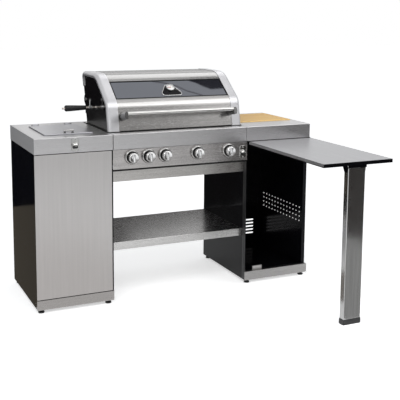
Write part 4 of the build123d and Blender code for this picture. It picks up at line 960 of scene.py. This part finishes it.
# The leaf's sheet is the door's steel, given darker and bluer shades than the door: painted shade and a
# painted bluish reflection.
shaded_table_steel = brushed_steel("shaded_brushed_table", "y", (0.355, 0.356, 0.37), (0.385, 0.386, 0.4), (0.32, 0.4))
skin(
    "leaf_skin", "table_leaf", shaded_table_steel, Matrix.Translation((0, 0, leaf_top)),
    low=(0.39575, -0.65645), high=(0.79795, 0.0832), rise=0.0022, hem=0.0034, corner=0.005,
)
slabs("leaf_edge", [leaf_edge], shaded_table_steel, "table_leaf")
slabs("leg_guard", [leg_guard], black_enamel, "table_leaf")

# Table leg: a rectangular stainless tube, polished, on a pin in the bracket.
# A black moulded cap closes its foot.
leg_steel = brushed_steel("leg_polish", "z", (0.42, 0.42, 0.42), (0.5, 0.5, 0.5), (0.1, 0.18))
dress(leg_steel, "table_leg")
dress(black_moulding, "leg_foot")

# Panel screws: cross-slotted pan heads that hold the backs and sides.
# Zinc-plated steel, all driven flush with the sheet.
screw_radius = 0.0045
screw_height = 0.0022
screw_taper = 0.72
screw_slot = 0.26
screw_sunk = 0.0002
back_edge, side_edge = 0.014, 0.016
side_foot = 0.03
below_top = 0.05


def screw_tree():
    tree = bpy.data.node_groups.new("screw_heads", "GeometryNodeTree")
    face = tree.interface
    face.new_socket("Spots", in_out="INPUT", socket_type="NodeSocketGeometry")
    ids = {}
    for label in ("Head radius", "Head height", "Slot width", "Finish"):
        kind = "NodeSocketMaterial" if label == "Finish" else "NodeSocketFloat"
        ids[label] = face.new_socket(label, in_out="INPUT", socket_type=kind).identifier
    face.new_socket("Screws", in_out="OUTPUT", socket_type="NodeSocketGeometry")
    made = tree.nodes
    join = tree.links.new
    given = made.new("NodeGroupInput")
    given_out = made.new("NodeGroupOutput")
    head = made.new("GeometryNodeMeshCone")
    head.inputs["Vertices"].default_value = 20
    head.inputs["Side Segments"].default_value = 1
    join(reckon(tree, "MULTIPLY", given.outputs["Head radius"], screw_taper), head.inputs["Radius Top"])
    join(given.outputs["Head radius"], head.inputs["Radius Bottom"])
    join(given.outputs["Head height"], head.inputs["Depth"])
    slots = made.new("GeometryNodeJoinGeometry")
    cut = made.new("GeometryNodeMeshBoolean")
    cut.operation = "DIFFERENCE"
    lift = made.new("ShaderNodeCombineXYZ")
    join(given.outputs["Head height"], lift.inputs["Z"])
    for long_way, short_way in ("XY", "YX"):
        bar = made.new("GeometryNodeMeshCube")
        size = made.new("ShaderNodeCombineXYZ")
        join(given.outputs["Head radius"], size.inputs[long_way])
        join(given.outputs["Slot width"], size.inputs[short_way])
        join(given.outputs["Head height"], size.inputs["Z"])
        join(size.outputs[0], bar.inputs["Size"])
        place = made.new("GeometryNodeTransform")
        join(bar.outputs["Mesh"], place.inputs["Geometry"])
        join(lift.outputs[0], place.inputs["Translation"])
        join(place.outputs[0], slots.inputs[0])
    join(head.outputs["Mesh"], cut.inputs["Mesh 1"])
    join(slots.outputs[0], cut.inputs["Mesh 2"])
    facing = made.new("GeometryNodeInputNamedAttribute")
    facing.data_type = "FLOAT_VECTOR"
    facing.inputs["Name"].default_value = "facing"
    align = made.new("FunctionNodeAlignRotationToVector")
    align.axis = "Z"
    join(facing.outputs["Attribute"], align.inputs["Vector"])
    spread_out = made.new("GeometryNodeInstanceOnPoints")
    join(given.outputs["Spots"], spread_out.inputs["Points"])
    join(cut.outputs["Mesh"], spread_out.inputs["Instance"])
    join(align.outputs[0], spread_out.inputs["Rotation"])
    real = made.new("GeometryNodeRealizeInstances")
    join(spread_out.outputs[0], real.inputs[0])
    coat = made.new("GeometryNodeSetMaterial")
    join(real.outputs[0], coat.inputs["Geometry"])
    join(given.outputs["Finish"], coat.inputs["Material"])
    join(coat.outputs[0], given_out.inputs[0])
    return tree, ids


screws_tree, screw_inputs = screw_tree()
zinc = metal_plate("screw_zinc", (0.62, 0.62, 0.6), gloss=0.26)


def screws(name, spots):
    mesh = bpy.data.meshes.new(name)
    mesh.from_pydata([p for p, _ in spots], [], [])
    facing = mesh.attributes.new("facing", "FLOAT_VECTOR", "POINT")
    facing.data.foreach_set("vector", [v for _, direction in spots for v in direction])
    holder = bpy.data.objects.new("screw_spots", mesh)
    bpy.context.collection.objects.link(holder)
    modifier = holder.modifiers.new("screws", "NODES")
    modifier.node_group = screws_tree
    modifier[screw_inputs["Head radius"]] = screw_radius
    modifier[screw_inputs["Head height"]] = screw_height
    modifier[screw_inputs["Slot width"]] = screw_radius * screw_slot
    modifier[screw_inputs["Finish"]] = zinc
    solid = plain_mesh(holder)
    bpy.data.objects.remove(holder)
    set_in_place(name, solid, "island")


back_spots = []
for name in ("left_back", "right_back"):
    low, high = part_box(name)
    y = high[1] - screw_sunk
    ends_x = (low[0] + back_edge, high[0] - back_edge)
    for x in (ends_x[0], (low[0] + high[0]) / 2, ends_x[1]):
        for z in (low[2] + back_edge, high[2] - below_top):
            back_spots.append(((x, y, z), (0, 1, 0)))
    for x in ends_x:
        back_spots.append(((x, y, (low[2] + high[2]) / 2), (0, 1, 0)))
screws("back_screws", back_spots)
side_spots = []
for name, side in (("left_outer_side", -1), ("right_outer_side", 1)):
    low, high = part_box(name)
    x = (low[0] if side < 0 else high[0]) - side * screw_sunk
    for y in (low[1] + side_edge, high[1] - side_edge):
        for z in (low[2] + side_foot, high[2] - below_top):
            side_spots.append(((x, y, z), (side, 0, 0)))
screws("side_screws", side_spots)
